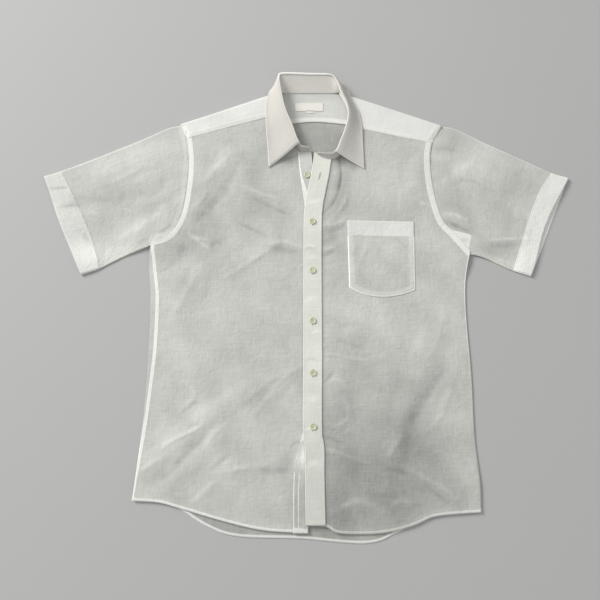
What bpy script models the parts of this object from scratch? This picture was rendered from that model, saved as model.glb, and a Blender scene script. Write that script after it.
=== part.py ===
"""Short-sleeved shirt of sheer plain-weave cloth, buttoned and laid flat on its back.

Metres, +Z up, +Y towards the collar, +X towards the wearer's left sleeve. The shirt lies on the
plane z = 0 and its plan is centred on the origin.
"""
import math

import bpy
import numpy as np

# Cloth and how it is stacked
CLOTH = 0.0010
GAP = 0.0003
STEP = CLOTH + GAP
COLLAR_CLOTH = 0.0012
LABEL_CLOTH = 0.0005

# Seams and turnings
HEM = 0.007
HEM_TIMES = 1.6
SLEEVE_HEM = 0.032
SLEEVE_HEM_TIMES = 2.0
LAP = 0.0095
HALF_LAP = 0.005
POCKET_HEM = 0.028
POCKET_HEIGHT = 0.125
PLACKET_WIDTH = 0.0325
BAND_WIDTH = 0.0245
FRONT_LENGTH = 0.640
SLEEVE_LENGTH = 0.230
SLEEVE_COLUMNS = 11

# Heights of what lies flat, measured at the underside
FRONT_LIE = STEP
INNER_YOKE_LIE = 2 * STEP
SLEEVE_THICK = 0.0030
CUFF_THICK = 0.0052
SLEEVE_LAP_TOP = 0.0050
LAP_LIE = SLEEVE_LAP_TOP + GAP
YOKE_FRONT_LIE = LAP_LIE + STEP
YOKE_TURN = (YOKE_FRONT_LIE + CLOTH) / 2

# How far from a seam or edge a layer stays level, and over what width it then comes down
LAP_LEVEL = LAP + 0.008
LAP_SLOPE = 0.040
YOKE_LEVEL = LAP + 0.008
YOKE_SLOPE = 0.055
HEM_LEVEL = 0.030
HEM_SLOPE = 0.060
BAND_LEVEL = 0.045
BAND_SLOPE = 0.045
BACK_LEVEL = 0.014
BACK_SLOPE = 0.030
SLEEVE_LEVEL = LAP + 0.010
SLEEVE_ON_YOKE_LEVEL = HALF_LAP + 0.015
SLEEVE_ON_YOKE_SLOPE = 0.030

# Shares of a panel's width or height where its seams and turnings fall
HEM_MARK = HEM / FRONT_LENGTH
HEM_STEP_MARK = HEM_MARK + 0.003
FRONT_UNDERARM = 0.68
BACK_UNDERARM = 0.66
BAND_END = 0.115
NECKLINE_END = 0.33
SIDE_LAP_START = 0.93
SIDE_LAP_MARK = 0.965
YOKE_LAP_START = 0.965
YOKE_LAP_MARK = 0.985
BACK_SIDE_MARK = 0.018
BACK_YOKE_MARK = 0.97
POCKET_HEM_MARK = 1 - POCKET_HEM / POCKET_HEIGHT
POCKET_STEP_MARK = POCKET_HEM_MARK + 0.01
CUFF_MARK = 1 - SLEEVE_HEM / SLEEVE_LENGTH
CUFF_STEP_MARK = CUFF_MARK + 0.01
CUFF_RISE_START = 0.70
SLEEVE_LAP_MARK = 0.06
YOKE_NECK = (0.40, 0.60)
INNER_YOKE_NECK = (0.37, 0.63)
INNER_YOKE_SHOULDER = 0.08
INNER_YOKE_SEAM = (0.035, 0.965)
INNER_YOKE_INSET = 0.007
INNER_NECK_INSET = 0.0010

# Buttons and buttonholes
BUTTON_RADIUS = 0.0056
BUTTON_THICK = 0.0021
BUTTON_WELL = 0.0009
BUTTON_WELL_RADIUS = 0.0032
BUTTON_RIM_RADIUS = 0.0041
BUTTON_EDGE = 0.0006
BUTTON_UNDERCUT = 0.0008
BUTTON_SEGMENTS = 16
THREAD_RADIUS = 0.0009
BUTTONHOLE_LENGTH = 0.013
BUTTONHOLE_OPEN = 0.0028
BUTTONHOLE_SHUT = 0.0012
CUTTER_HEIGHT = 0.012
OPEN_BUTTON = (0.0015, 0.217)
OPEN_BUTTONHOLE = (0.024, 0.216)
BUTTON_X = 0.0110
BUTTON_TOP_Y = 0.1290
BUTTON_PITCH = 0.0895
BUTTONS_SHUT = 5

# Moves the plan so that the laid shirt is centred on the origin
LAID = (0.0, 0.00037)

# Outlines, (x, y) from the hem upwards. The wearer's right is at -X.
RIGHT_SIDE = [(-0.287, -0.348), (-0.281, -0.287), (-0.274, -0.200), (-0.271, -0.100),
              (-0.272, -0.010), (-0.277, 0.050), (-0.276, 0.083), (-0.271, 0.096)]
LEFT_SIDE = [(0.285, -0.366), (0.286, -0.318), (0.281, -0.240), (0.281, -0.146),
             (0.278, -0.060), (0.278, 0.000), (0.283, 0.045), (0.290, 0.075)]
RIGHT_ARMHOLE = [(-0.271, 0.096), (-0.252, 0.101), (-0.236, 0.116), (-0.222, 0.150),
                 (-0.215, 0.205), (-0.2145, 0.248), (-0.220, 0.2915)]
LEFT_ARMHOLE = [(0.290, 0.075), (0.264, 0.107), (0.243, 0.132), (0.230, 0.180),
                (0.225, 0.223), (0.2255, 0.255), (0.2305, 0.2825)]
RIGHT_TIP = (-0.231, 0.316)
LEFT_TIP = (0.250, 0.313)
RIGHT_NECK_SIDE = (-0.050, 0.3805)
LEFT_NECK_SIDE = (0.063, 0.3800)

RIGHT_SHOULDER = [RIGHT_TIP, (-0.160, 0.341), (-0.091, 0.366), RIGHT_NECK_SIDE]
LEFT_SHOULDER = [LEFT_NECK_SIDE, (0.078, 0.374), (0.166, 0.343), LEFT_TIP]
BACK_NECK = [RIGHT_NECK_SIDE, (-0.030, 0.3822), (0.007, 0.3822), (0.043, 0.3822), LEFT_NECK_SIDE]
RIGHT_STRIP_NECK = [(-0.043, 0.341), (-0.051, 0.366), RIGHT_NECK_SIDE]
LEFT_STRIP_NECK = [(0.081, 0.3148), (0.077, 0.350), LEFT_NECK_SIDE]

RIGHT_YOKE_SEAM = [(-0.043, 0.341), (-0.092, 0.328), (-0.209, 0.295), (-0.220, 0.2915)]
LEFT_YOKE_SEAM = [(0.081, 0.3148), (0.103, 0.310), (0.218, 0.285), (0.2305, 0.2825)]
BACK_YOKE_SEAM = [(-0.220, 0.2915), (-0.120, 0.312), (-0.023, 0.323), (0.034, 0.325),
                  (0.120, 0.312), (0.2305, 0.2825)]

BAND_TOP = [(0.009, 0.266), (-0.014, 0.266)]
RIGHT_NECKLINE = [(-0.014, 0.266), (-0.029, 0.302), (-0.043, 0.341)]
PLACKET_TOP = [(0.015, 0.260), (0.045, 0.251)]
LEFT_NECKLINE = [(0.045, 0.251), (0.064, 0.268), (0.077, 0.290), (0.081, 0.3148)]

# Free edges at the centre front, from the hem upwards
RIGHT_EDGE = [(0.002, -0.3985), (0.002, -0.330), (0.006, -0.285), (0.020, -0.229), (0.022, -0.139),
              (0.023, 0.041), (0.0235, 0.129), (0.020, 0.175), (0.014, 0.217), (0.009, 0.266)]
LEFT_EDGE = [(-0.002, -0.386), (-0.003, -0.314), (-0.003, -0.265), (-0.0065, -0.235),
             (-0.0055, -0.100), (-0.005, 0.095), (-0.003, 0.155), (0.004, 0.195), (0.010, 0.225),
             (0.015, 0.260)]

RIGHT_FRONT_HEM = [(0.002, -0.3985), (-0.070, -0.394), (-0.132, -0.381), (-0.211, -0.359),
                   (-0.243, -0.351), (-0.287, -0.348)]
LEFT_FRONT_HEM = [(-0.002, -0.386), (0.030, -0.388), (0.051, -0.398), (0.098, -0.400),
                  (0.138, -0.396), (0.176, -0.386), (0.208, -0.373), (0.255, -0.368),
                  (0.285, -0.366)]
BACK_HEM = [(-0.287, -0.348), (-0.240, -0.350), (-0.212, -0.3595), (-0.164, -0.388),
            (-0.113, -0.404), (-0.012, -0.4075), (0.051, -0.413), (0.091, -0.415),
            (0.119, -0.411), (0.141, -0.401), (0.176, -0.384), (0.208, -0.371),
            (0.255, -0.3665), (0.285, -0.366)]

# Sleeves: lower edge from the underarm, top edge from the shoulder tip, cuff from below
RIGHT_SLEEVE_LOWER = [(-0.286, 0.0805), (-0.325, 0.064), (-0.365, 0.043), (-0.396, 0.0315)]
RIGHT_SLEEVE_TOP = [(-0.255, 0.308), (-0.300, 0.287), (-0.375, 0.254), (-0.444, 0.225),
                    (-0.475, 0.215)]
RIGHT_CUFF = [(-0.396, 0.0315), (-0.422, 0.085), (-0.448, 0.143), (-0.475, 0.215)]
LEFT_SLEEVE_LOWER = [(0.304, 0.066), (0.327, 0.057), (0.360, 0.041), (0.394, 0.029)]
LEFT_SLEEVE_TOP = [(0.275, 0.307), (0.326, 0.281), (0.385, 0.252), (0.444, 0.222), (0.475, 0.212)]
LEFT_CUFF = [(0.394, 0.029), (0.414, 0.070), (0.436, 0.120), (0.475, 0.212)]
LEFT_CUFF_BOW = 0.013

POCKET_LEFT = [(0.075, 0.009), (0.073, 0.132)]
POCKET_RIGHT = [(0.191, 0.004), (0.193, 0.129)]
POCKET_TOP = [(0.073, 0.132), (0.193, 0.129)]
POCKET_BOTTOM = [(0.075, 0.009), (0.100, -0.003), (0.134, -0.008), (0.166, -0.004),
                 (0.191, 0.004)]

LABEL = {"x": (-0.020, 0.032), "y": (0.344, 0.361)}
SIZE_TAB = {"x": (0.000, 0.014), "y": (0.3385, 0.3435)}

# Largest folds: x and y of both ends, half width, height
RIGHT_FRONT_FOLDS = [
    (-0.255, -0.290, -0.168, -0.213, 0.028, 0.0036),
    (-0.168, -0.213, -0.060, -0.148, 0.024, 0.0032),
    (-0.235, -0.325, -0.150, -0.250, 0.024, 0.0026),
    (-0.122, -0.294, -0.045, -0.285, 0.022, 0.0018),
    (-0.131, 0.132, -0.060, 0.094, 0.024, 0.0026),
    (-0.134, 0.041, -0.060, 0.086, 0.022, 0.0018),
    (-0.101, 0.189, -0.050, 0.160, 0.022, 0.0022),
    (-0.142, 0.250, -0.184, 0.160, 0.026, 0.0028),
]
LEFT_FRONT_FOLDS = [
    (0.215, -0.080, 0.172, -0.190, 0.030, 0.0030),
    (0.172, -0.190, 0.146, -0.275, 0.026, 0.0030),
    (0.176, -0.304, 0.245, -0.345, 0.024, 0.0026),
    (0.063, 0.215, 0.058, 0.165, 0.020, 0.0028),
    (0.090, -0.060, 0.060, -0.150, 0.024, 0.0018),
    (0.205, 0.235, 0.185, 0.150, 0.024, 0.0020),
]
RIGHT_SLEEVE_FOLDS = [
    (-0.370, 0.215, -0.265, 0.262, 0.030, 0.0035),
    (-0.365, 0.150, -0.265, 0.175, 0.030, 0.0030),
]
LEFT_SLEEVE_FOLDS = [
    (0.310, 0.085, 0.385, 0.105, 0.026, 0.0030),
    (0.290, 0.215, 0.390, 0.195, 0.030, 0.0030),
]

# Collar band, from the wearer's right front end round the back: foot x, y, z, top x, y, z
BAND = [
    (0.0085, 0.2635, 0.0044, 0.0080, 0.2685, 0.0150),
    (-0.0150, 0.2670, 0.0044, -0.0120, 0.2730, 0.0190),
    (-0.0315, 0.3010, 0.0058, -0.0260, 0.3080, 0.0215),
    (-0.0455, 0.3380, 0.0084, -0.0390, 0.3410, 0.0230),
    (-0.0535, 0.3660, 0.0088, -0.0460, 0.3740, 0.0235),
    (-0.0495, 0.3790, 0.0084, -0.0490, 0.3900, 0.0228),
    (-0.0450, 0.3795, 0.0064, -0.0500, 0.4030, 0.0210),
    (-0.0330, 0.3795, 0.0048, -0.0430, 0.4110, 0.0190),
    (0.0070, 0.3795, 0.0048, 0.0070, 0.4105, 0.0180),
    (0.0450, 0.3795, 0.0048, 0.0450, 0.4085, 0.0185),
    (0.0570, 0.3790, 0.0064, 0.0555, 0.3960, 0.0210),
    (0.0640, 0.3775, 0.0086, 0.0600, 0.3840, 0.0225),
    (0.0715, 0.3660, 0.0090, 0.0645, 0.3700, 0.0230),
    (0.0800, 0.3450, 0.0090, 0.0730, 0.3500, 0.0225),
    (0.0845, 0.3180, 0.0090, 0.0765, 0.3280, 0.0220),
    (0.0805, 0.2890, 0.0080, 0.0715, 0.3030, 0.0205),
    (0.0660, 0.2650, 0.0072, 0.0625, 0.2790, 0.0190),
    (0.0455, 0.2480, 0.0070, 0.0520, 0.2580, 0.0170),
    (0.0190, 0.2575, 0.0070, 0.0215, 0.2565, 0.0160),
]

# Collar fall at each row of the band but its two ends: edge x, y, z, roll x, y, z, lie
FALL = [
    (-0.0680, 0.2320, 0.0040, -0.004, -0.003, 0.001, 0.45),
    (-0.0705, 0.2680, 0.0050, -0.005, -0.001, 0.002, 0.45),
    (-0.0735, 0.3090, 0.0092, -0.006, 0.000, 0.002, 0.45),
    (-0.0745, 0.3455, 0.0092, -0.006, 0.001, 0.002, 0.45),
    (-0.0690, 0.3775, 0.0092, -0.006, 0.003, 0.001, 0.45),
    (-0.0610, 0.3870, 0.0025, -0.005, 0.004, -0.001, 0.60),
    (-0.0420, 0.3875, 0.0008, -0.002, 0.006, -0.003, 0.85),
    (0.0070, 0.3875, 0.0008, 0.000, 0.006, -0.003, 0.85),
    (0.0480, 0.3875, 0.0008, 0.002, 0.006, -0.003, 0.85),
    (0.0700, 0.3880, 0.0025, 0.005, 0.004, -0.001, 0.60),
    (0.0790, 0.3780, 0.0092, 0.006, 0.003, 0.001, 0.45),
    (0.0870, 0.3600, 0.0092, 0.006, 0.001, 0.002, 0.45),
    (0.0980, 0.3370, 0.0092, 0.006, 0.000, 0.002, 0.45),
    (0.1025, 0.3100, 0.0092, 0.006, 0.000, 0.002, 0.45),
    (0.1035, 0.2850, 0.0082, 0.005, -0.001, 0.002, 0.45),
    (0.1050, 0.2550, 0.0050, 0.005, -0.002, 0.002, 0.45),
    (0.1060, 0.2290, 0.0040, 0.004, -0.003, 0.001, 0.45),
]
FALL_SEAM = 0.0019
FALL_SHARES = (0, 0.08, 0.18, 0.32, 0.5, 0.7, 0.86, 1.0)
ROWS_PER_STATION = 2

# Colours, roughness
FINISHES = {
    "sheer_cloth": ((0.55, 0.55, 0.52), 0.85),
    "doubled_cloth": ((0.76, 0.75, 0.71), 0.82),
    "label_satin": ((0.72, 0.71, 0.67), 0.55),
    "button_shell": ((0.60, 0.61, 0.44), 0.35),
}


def start_clean():
    for thing in list(bpy.data.objects):
        bpy.data.objects.remove(thing, do_unlink=True)


def collection(name):
    group = bpy.data.collections.new(name)
    bpy.context.scene.collection.children.link(group)
    return group


def finish(name):
    material = bpy.data.materials.get(name)
    if material:
        return material
    colour, roughness = FINISHES[name]
    material = bpy.data.materials.new(name)
    material.use_nodes = True
    shader = material.node_tree.nodes["Principled BSDF"]
    shader.inputs["Base Color"].default_value = (*colour, 1.0)
    shader.inputs["Roughness"].default_value = roughness
    shader.inputs["Metallic"].default_value = 0.0
    return material


# Curves in the plan

def curve(points, per_span=10):
    """Dense soft line through the points of a short table."""
    knots = np.array(points, dtype=float)
    if len(knots) == 2:
        return knots
    ends = np.vstack([2 * knots[0] - knots[1], knots, 2 * knots[-1] - knots[-2]])
    line = []
    for a, b, c, d in zip(ends, ends[1:], ends[2:], ends[3:]):
        for t in np.linspace(0, 1, per_span, endpoint=False):
            line.append(0.5 * (2 * b + (c - a) * t + (2 * a - 5 * b + 4 * c - d) * t ** 2
                               + (3 * b - a - 3 * c + d) * t ** 3))
    return np.vstack([line, knots[-1]])


def along(line, shares):
    """Points at the given shares of a line's length."""
    steps = np.linalg.norm(np.diff(line, axis=0), axis=1)
    run = np.concatenate([[0], np.cumsum(steps)]) / steps.sum()
    return np.column_stack([np.interp(shares, run, line[:, k]) for k in range(line.shape[1])])


def edge(marks, *runs):
    """Points of one edge of a panel: each run is a line with the marks where it starts and ends."""
    marks = np.asarray(marks)
    points = np.zeros((len(marks), 2))
    for line, start, end in runs:
        inside = (marks >= start - 1e-9) & (marks <= end + 1e-9)
        points[inside] = along(line, (marks[inside] - start) / (end - start))
    return points


def offset(line, distance):
    """The line moved sideways, to its left for a positive distance."""
    along_it = np.gradient(line, axis=0)
    along_it /= np.linalg.norm(along_it, axis=1)[:, None]
    return line + distance * np.column_stack([-along_it[:, 1], along_it[:, 0]])


def marks(*stops):
    """Grid marks from 0 to 1: each stop is a mark and the number of steps that lead to it."""
    found = [0.0]
    for mark, steps in stops:
        found.extend(np.linspace(found[-1], mark, steps + 1)[1:])
    return np.array(found)


def patch(us, vs, bottom, top, left, right):
    """Plan points of a four-sided panel, rows along v, from its four edges."""
    u = us[None, :, None]
    v = vs[:, None, None]
    corners = ((1 - u) * (1 - v) * bottom[0] + u * (1 - v) * bottom[-1]
               + (1 - u) * v * top[0] + u * v * top[-1])
    return ((1 - u) * left[:, None] + u * right[:, None]
            + (1 - v) * bottom[None] + v * top[None] - corners)


def distance_to(line, plan):
    """Distance from every plan point to the nearest place on a line."""
    start, end = line[:-1], line[1:]
    run = end - start
    apart = plan[..., None, :] - start
    share = np.clip((apart * run).sum(-1) / (run ** 2).sum(-1), 0, 1)
    return np.linalg.norm(apart - share[..., None] * run, axis=-1).min(-1)


def near(distance, flat, reach):
    """1 within flat of a line, falling softly to 0 over reach."""
    t = np.clip((distance - flat) / reach, 0, 1)
    return 1 - t * t * (3 - 2 * t)


def folds(plan, table):
    """Height that the soft ridges of a table add to a panel."""
    height = np.zeros(plan.shape[:-1])
    for x0, y0, x1, y1, half_width, rise in table:
        away = distance_to(np.array([(x0, y0), (x1, y1)]), plan) / half_width
        height += rise * np.clip(1 - away ** 2, 0, 1) ** 2
    return height


# Where each layer lies

FRONT_HEM_LINE = np.vstack([curve(RIGHT_FRONT_HEM)[::-1], curve(LEFT_FRONT_HEM)])
RIGHT_ARM_LINE = curve(RIGHT_ARMHOLE)
LEFT_ARM_LINE = curve(LEFT_ARMHOLE)


def front_lie(plan, over_band=0.0):
    """Underside of both fronts: on the back, over its hem, and up over sleeves and yoke."""
    at_hem = near(distance_to(FRONT_HEM_LINE, plan), HEM_LEVEL, HEM_SLOPE)
    lie = FRONT_LIE + STEP * at_hem + over_band
    lap = np.maximum(near(distance_to(RIGHT_ARM_LINE, plan), LAP_LEVEL, LAP_SLOPE),
                     near(distance_to(LEFT_ARM_LINE, plan), LAP_LEVEL, LAP_SLOPE))
    for seam in (RIGHT_YOKE_SEAM, LEFT_YOKE_SEAM):
        lap = np.maximum(lap, near(distance_to(curve(seam), plan), YOKE_LEVEL, YOKE_SLOPE))
    return np.maximum(lie, FRONT_LIE + (LAP_LIE - FRONT_LIE) * lap)


def right_front_lie(plan):
    return front_lie(plan) + folds(plan, RIGHT_FRONT_FOLDS)


def left_front_lie(plan):
    """The left front also lies over the right one's edge and its button band."""
    from_edge = distance_to(curve(LEFT_EDGE), plan)
    over_band = 2 * STEP * near(from_edge, BAND_LEVEL, BAND_SLOPE)
    return front_lie(plan, over_band) + folds(plan, LEFT_FRONT_FOLDS)


# Sheets

def build_mesh(name, vertices, faces, facing_up, witness=0):
    """Mesh whose witness face looks up or down as asked."""
    mesh = bpy.data.meshes.new(name)
    moved = np.array(vertices, dtype=float).reshape(-1, 3) + (LAID[0], LAID[1], 0.0)
    mesh.from_pydata(moved.tolist(), [], faces)
    mesh.update()
    if (mesh.polygons[witness].normal.z > 0) != facing_up:
        mesh.flip_normals()
    return mesh


def grid_faces(rows, columns, closed=False):
    """Four-sided faces between the rows and columns of a grid of points."""
    faces = []
    for i in range(rows - 1):
        for j in range(columns if closed else columns - 1):
            k = (j + 1) % columns
            faces.append((i * columns + j, i * columns + k,
                          (i + 1) * columns + k, (i + 1) * columns + j))
    return faces


def add_wall(thing, thickness, side, hem_vertices=None, hem_times=1.0):
    """Solidify: side +1 grows along the normals, -1 against them, 0 both ways."""
    wall = thing.modifiers.new("wall", "SOLIDIFY")
    wall.offset = side
    wall.use_even_offset = True
    wall.thickness = thickness
    if hem_vertices is not None:
        turned = thing.vertex_groups.new(name="turned_hem")
        turned.add([int(k) for k in hem_vertices], 1.0, "REPLACE")
        wall.thickness = thickness * hem_times
        wall.vertex_group = turned.name
        wall.thickness_vertex_group = 1 / hem_times


def place(name, mesh, material, group):
    mesh.materials.append(finish(material))
    thing = bpy.data.objects.new(name, mesh)
    group.objects.link(thing)
    return thing


def flat_sheet(name, plan, lie, material, group, hem_rows=(), hem_start=0, thickness=CLOTH):
    """A panel that grows upwards by its thickness from its underside."""
    rows, columns = plan.shape[:2]
    points = np.dstack([plan, np.broadcast_to(lie, (rows, columns))])
    mesh = build_mesh(name, points, grid_faces(rows, columns), facing_up=True)
    thing = place(name, mesh, material, group)
    hem = None
    if len(hem_rows):
        hem = [i * columns + j for i in hem_rows for j in range(hem_start, columns)]
    add_wall(thing, thickness, 1.0, hem, HEM_TIMES)
    return thing


# Body

ACROSS_FRONT = marks((BAND_END, 3), (NECKLINE_END, 4), (SIDE_LAP_START, 12), (SIDE_LAP_MARK, 1),
                     (1.0, 1))
UP_FRONT = marks((HEM_MARK, 1), (HEM_STEP_MARK, 1), (FRONT_UNDERARM, 22), (YOKE_LAP_START, 10),
                 (YOKE_LAP_MARK, 1), (1.0, 1))
ACROSS_BACK = marks((BACK_SIDE_MARK, 1), (1 - BACK_SIDE_MARK, 19), (1.0, 1))
UP_BACK = marks((HEM_MARK, 1), (HEM_STEP_MARK, 1), (BACK_UNDERARM, 13), (BACK_YOKE_MARK, 6),
                (1.0, 1))


def add_back(group):
    bottom = edge(ACROSS_BACK, (curve(BACK_HEM), 0, 1))
    top = edge(ACROSS_BACK, (offset(curve(BACK_YOKE_SEAM), HALF_LAP), 0, 1))
    right_arm = np.vstack([curve(RIGHT_ARMHOLE), top[0]])
    left_arm = np.vstack([curve(LEFT_ARMHOLE), top[-1]])
    left = edge(UP_BACK, (curve(RIGHT_SIDE), 0, BACK_UNDERARM), (right_arm, BACK_UNDERARM, 1))
    right = edge(UP_BACK, (curve(LEFT_SIDE), 0, BACK_UNDERARM), (left_arm, BACK_UNDERARM, 1))
    plan = patch(ACROSS_BACK, UP_BACK, bottom, top, left, right)
    lie = STEP * near(distance_to(top, plan), BACK_LEVEL, BACK_SLOPE)
    flat_sheet("back_panel", plan, lie, "sheer_cloth", group, hem_rows=(0, 1))


def front_plan(centre, side, armhole, hem, top_runs):
    bottom = edge(ACROSS_FRONT, (curve(hem), 0, 1))
    top = edge(ACROSS_FRONT, *top_runs)
    inner = edge(UP_FRONT, (curve(centre), 0, 1))
    outer = edge(UP_FRONT, (curve(side), 0, FRONT_UNDERARM), (curve(armhole), FRONT_UNDERARM, 1))
    return patch(ACROSS_FRONT, UP_FRONT, bottom, top, inner, outer)


def add_fronts(group):
    right_top = ((curve(BAND_TOP), 0, BAND_END), (curve(RIGHT_NECKLINE), BAND_END, NECKLINE_END),
                 (curve(RIGHT_YOKE_SEAM), NECKLINE_END, 1))
    right = front_plan(RIGHT_EDGE, RIGHT_SIDE, RIGHT_ARMHOLE, RIGHT_FRONT_HEM, right_top)
    flat_sheet("right_front", right, right_front_lie(right), "sheer_cloth", group,
               hem_rows=(0, 1), hem_start=4)
    left_top = ((curve(PLACKET_TOP), 0, BAND_END), (curve(LEFT_NECKLINE), BAND_END, NECKLINE_END),
                (curve(LEFT_YOKE_SEAM), NECKLINE_END, 1))
    left = front_plan(LEFT_EDGE, LEFT_SIDE, LEFT_ARMHOLE, LEFT_FRONT_HEM, left_top)
    return flat_sheet("left_front", left, left_front_lie(left), "sheer_cloth", group,
                      hem_rows=(0, 1), hem_start=4)


def strip_plan(outer_edge, width, shares, columns=3):
    """A band of even width along an edge, to its left for a positive width."""
    line = curve(outer_edge)
    near_side = along(line, shares)
    far_side = along(offset(line, width), shares)
    across = np.linspace(0, 1, columns)[None, :, None]
    return near_side[:, None] * (1 - across) + far_side[:, None] * across


def add_front_bands(group):
    shares = np.linspace(0, 1, 30)
    band = strip_plan(RIGHT_EDGE, BAND_WIDTH, shares)
    flat_sheet("button_band", band, right_front_lie(band) + STEP, "doubled_cloth", group)
    placket = strip_plan(LEFT_EDGE, -PLACKET_WIDTH, shares, columns=4)
    return flat_sheet("placket", placket, left_front_lie(placket) + STEP, "doubled_cloth", group)


def add_pocket(group):
    across = marks((1.0, 10))
    up = marks((POCKET_HEM_MARK, 8), (POCKET_STEP_MARK, 1), (1.0, 2))
    plan = patch(across, up, edge(across, (curve(POCKET_BOTTOM), 0, 1)),
                 edge(across, (curve(POCKET_TOP), 0, 1)), edge(up, (curve(POCKET_LEFT), 0, 1)),
                 edge(up, (curve(POCKET_RIGHT), 0, 1)))
    flat_sheet("chest_pocket", plan, left_front_lie(plan) + STEP, "sheer_cloth", group,
               hem_rows=(len(up) - 3, len(up) - 2, len(up) - 1))


# Yoke

def turned(points, outward, radius, centre_height, angles):
    """Points of a fold that turns about a line, from the lower layer to the upper one."""
    rows = []
    for angle in angles:
        reach = radius * math.cos(angle)
        height = np.full(len(points), centre_height + radius * math.sin(angle))
        rows.append(np.column_stack([points + outward * reach, height]))
    return rows


def add_yoke(group):
    """Outer yoke: the back part, folded over both shoulders down to the front seams."""
    shoulder, neck = 9, 6
    across = marks((YOKE_NECK[0], shoulder), (YOKE_NECK[1], neck), (1.0, shoulder))
    up = marks((1.0, 4))
    top = edge(across, (curve(RIGHT_SHOULDER), 0, YOKE_NECK[0]), (curve(BACK_NECK), *YOKE_NECK),
               (curve(LEFT_SHOULDER), YOKE_NECK[1], 1))
    bottom = edge(across, (offset(curve(BACK_YOKE_SEAM), -HALF_LAP), 0, 1))
    columns = len(across)
    folded = [j for j in range(columns) if j <= shoulder or j >= shoulder + neck]
    outward = np.zeros((columns, 2))
    for side in (slice(0, shoulder + 1), slice(shoulder + neck, columns)):
        outward[side] = offset(top[side], 1.0) - top[side]
    inset = top - outward * YOKE_TURN
    plan = patch(across, up, bottom, inset, along(np.array([bottom[0], inset[0]]), up),
                 along(np.array([bottom[-1], inset[-1]]), up))
    points = [(*xy, 0.0) for row in plan for xy in row]
    faces = grid_faces(len(up), columns)
    for start, seam, neck_edge in ((0, RIGHT_YOKE_SEAM, RIGHT_STRIP_NECK),
                                   (shoulder + neck, LEFT_YOKE_SEAM, LEFT_STRIP_NECK)):
        chosen = slice(start, start + shoulder + 1)
        ridge = inset[chosen]
        rows = turned(ridge, outward[chosen], YOKE_TURN, YOKE_TURN,
                      [math.radians(a) for a in (-45, 0, 45, 90)])
        seam_line = offset(curve(seam), -HALF_LAP if start else HALF_LAP)
        low = along(seam_line if start else seam_line[::-1], np.linspace(0, 1, shoulder + 1))
        inner = along(curve(neck_edge), 1 - np.linspace(0, 1, 4))
        bend = inner - along(np.array([inner[0], inner[-1]]), np.linspace(0, 1, 4))
        weight = np.linspace(0, 1, shoulder + 1)[::-1 if start else 1][None, :, None] ** 3
        share = np.linspace(0, 1, 4)[:, None, None]
        strip = ridge[None] * (1 - share) + low[None] * share + bend[:, None] * weight
        rows += [np.column_stack([row, np.full(len(row), 2 * YOKE_TURN)]) for row in strip[1:]]
        previous = [(len(up) - 1) * columns + start + j for j in range(shoulder + 1)]
        for row in rows:
            current = list(range(len(points), len(points) + shoulder + 1))
            points.extend(map(tuple, row))
            faces.extend((previous[j], previous[j + 1], current[j + 1], current[j])
                         for j in range(shoulder))
            previous = current
    mesh = build_mesh("yoke", points, faces, facing_up=False)
    add_wall(place("yoke", mesh, "doubled_cloth", group), CLOTH, -1.0)


def add_inner_yoke(group):
    """Inner yoke: the back part alone, which shows inside the neck."""
    across = marks((INNER_YOKE_NECK[0], 6), (INNER_YOKE_NECK[1], 6), (1.0, 6))
    up = marks((1.0, 3))
    right = along(offset(curve(RIGHT_SHOULDER), -INNER_YOKE_INSET),
                  np.linspace(INNER_YOKE_SHOULDER, 1, 20))
    left = along(offset(curve(LEFT_SHOULDER), -INNER_YOKE_INSET),
                 np.linspace(0, 1 - INNER_YOKE_SHOULDER, 20))
    neck = np.vstack([right[-1], curve(BACK_NECK)[4:-4] - (0, INNER_NECK_INSET), left[0]])
    top = edge(across, (right, 0, INNER_YOKE_NECK[0]), (neck, *INNER_YOKE_NECK),
               (left, INNER_YOKE_NECK[1], 1))
    seam = offset(curve(BACK_YOKE_SEAM), -HALF_LAP)
    start, end = INNER_YOKE_SEAM
    bottom = along(seam, start + (end - start) * across)
    plan = patch(across, up, bottom, top, along(np.array([bottom[0], top[0]]), up),
                 along(np.array([bottom[-1], top[-1]]), up))
    flat_sheet("inner_yoke", plan, INNER_YOKE_LIE, "doubled_cloth", group)


# Sleeves

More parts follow.
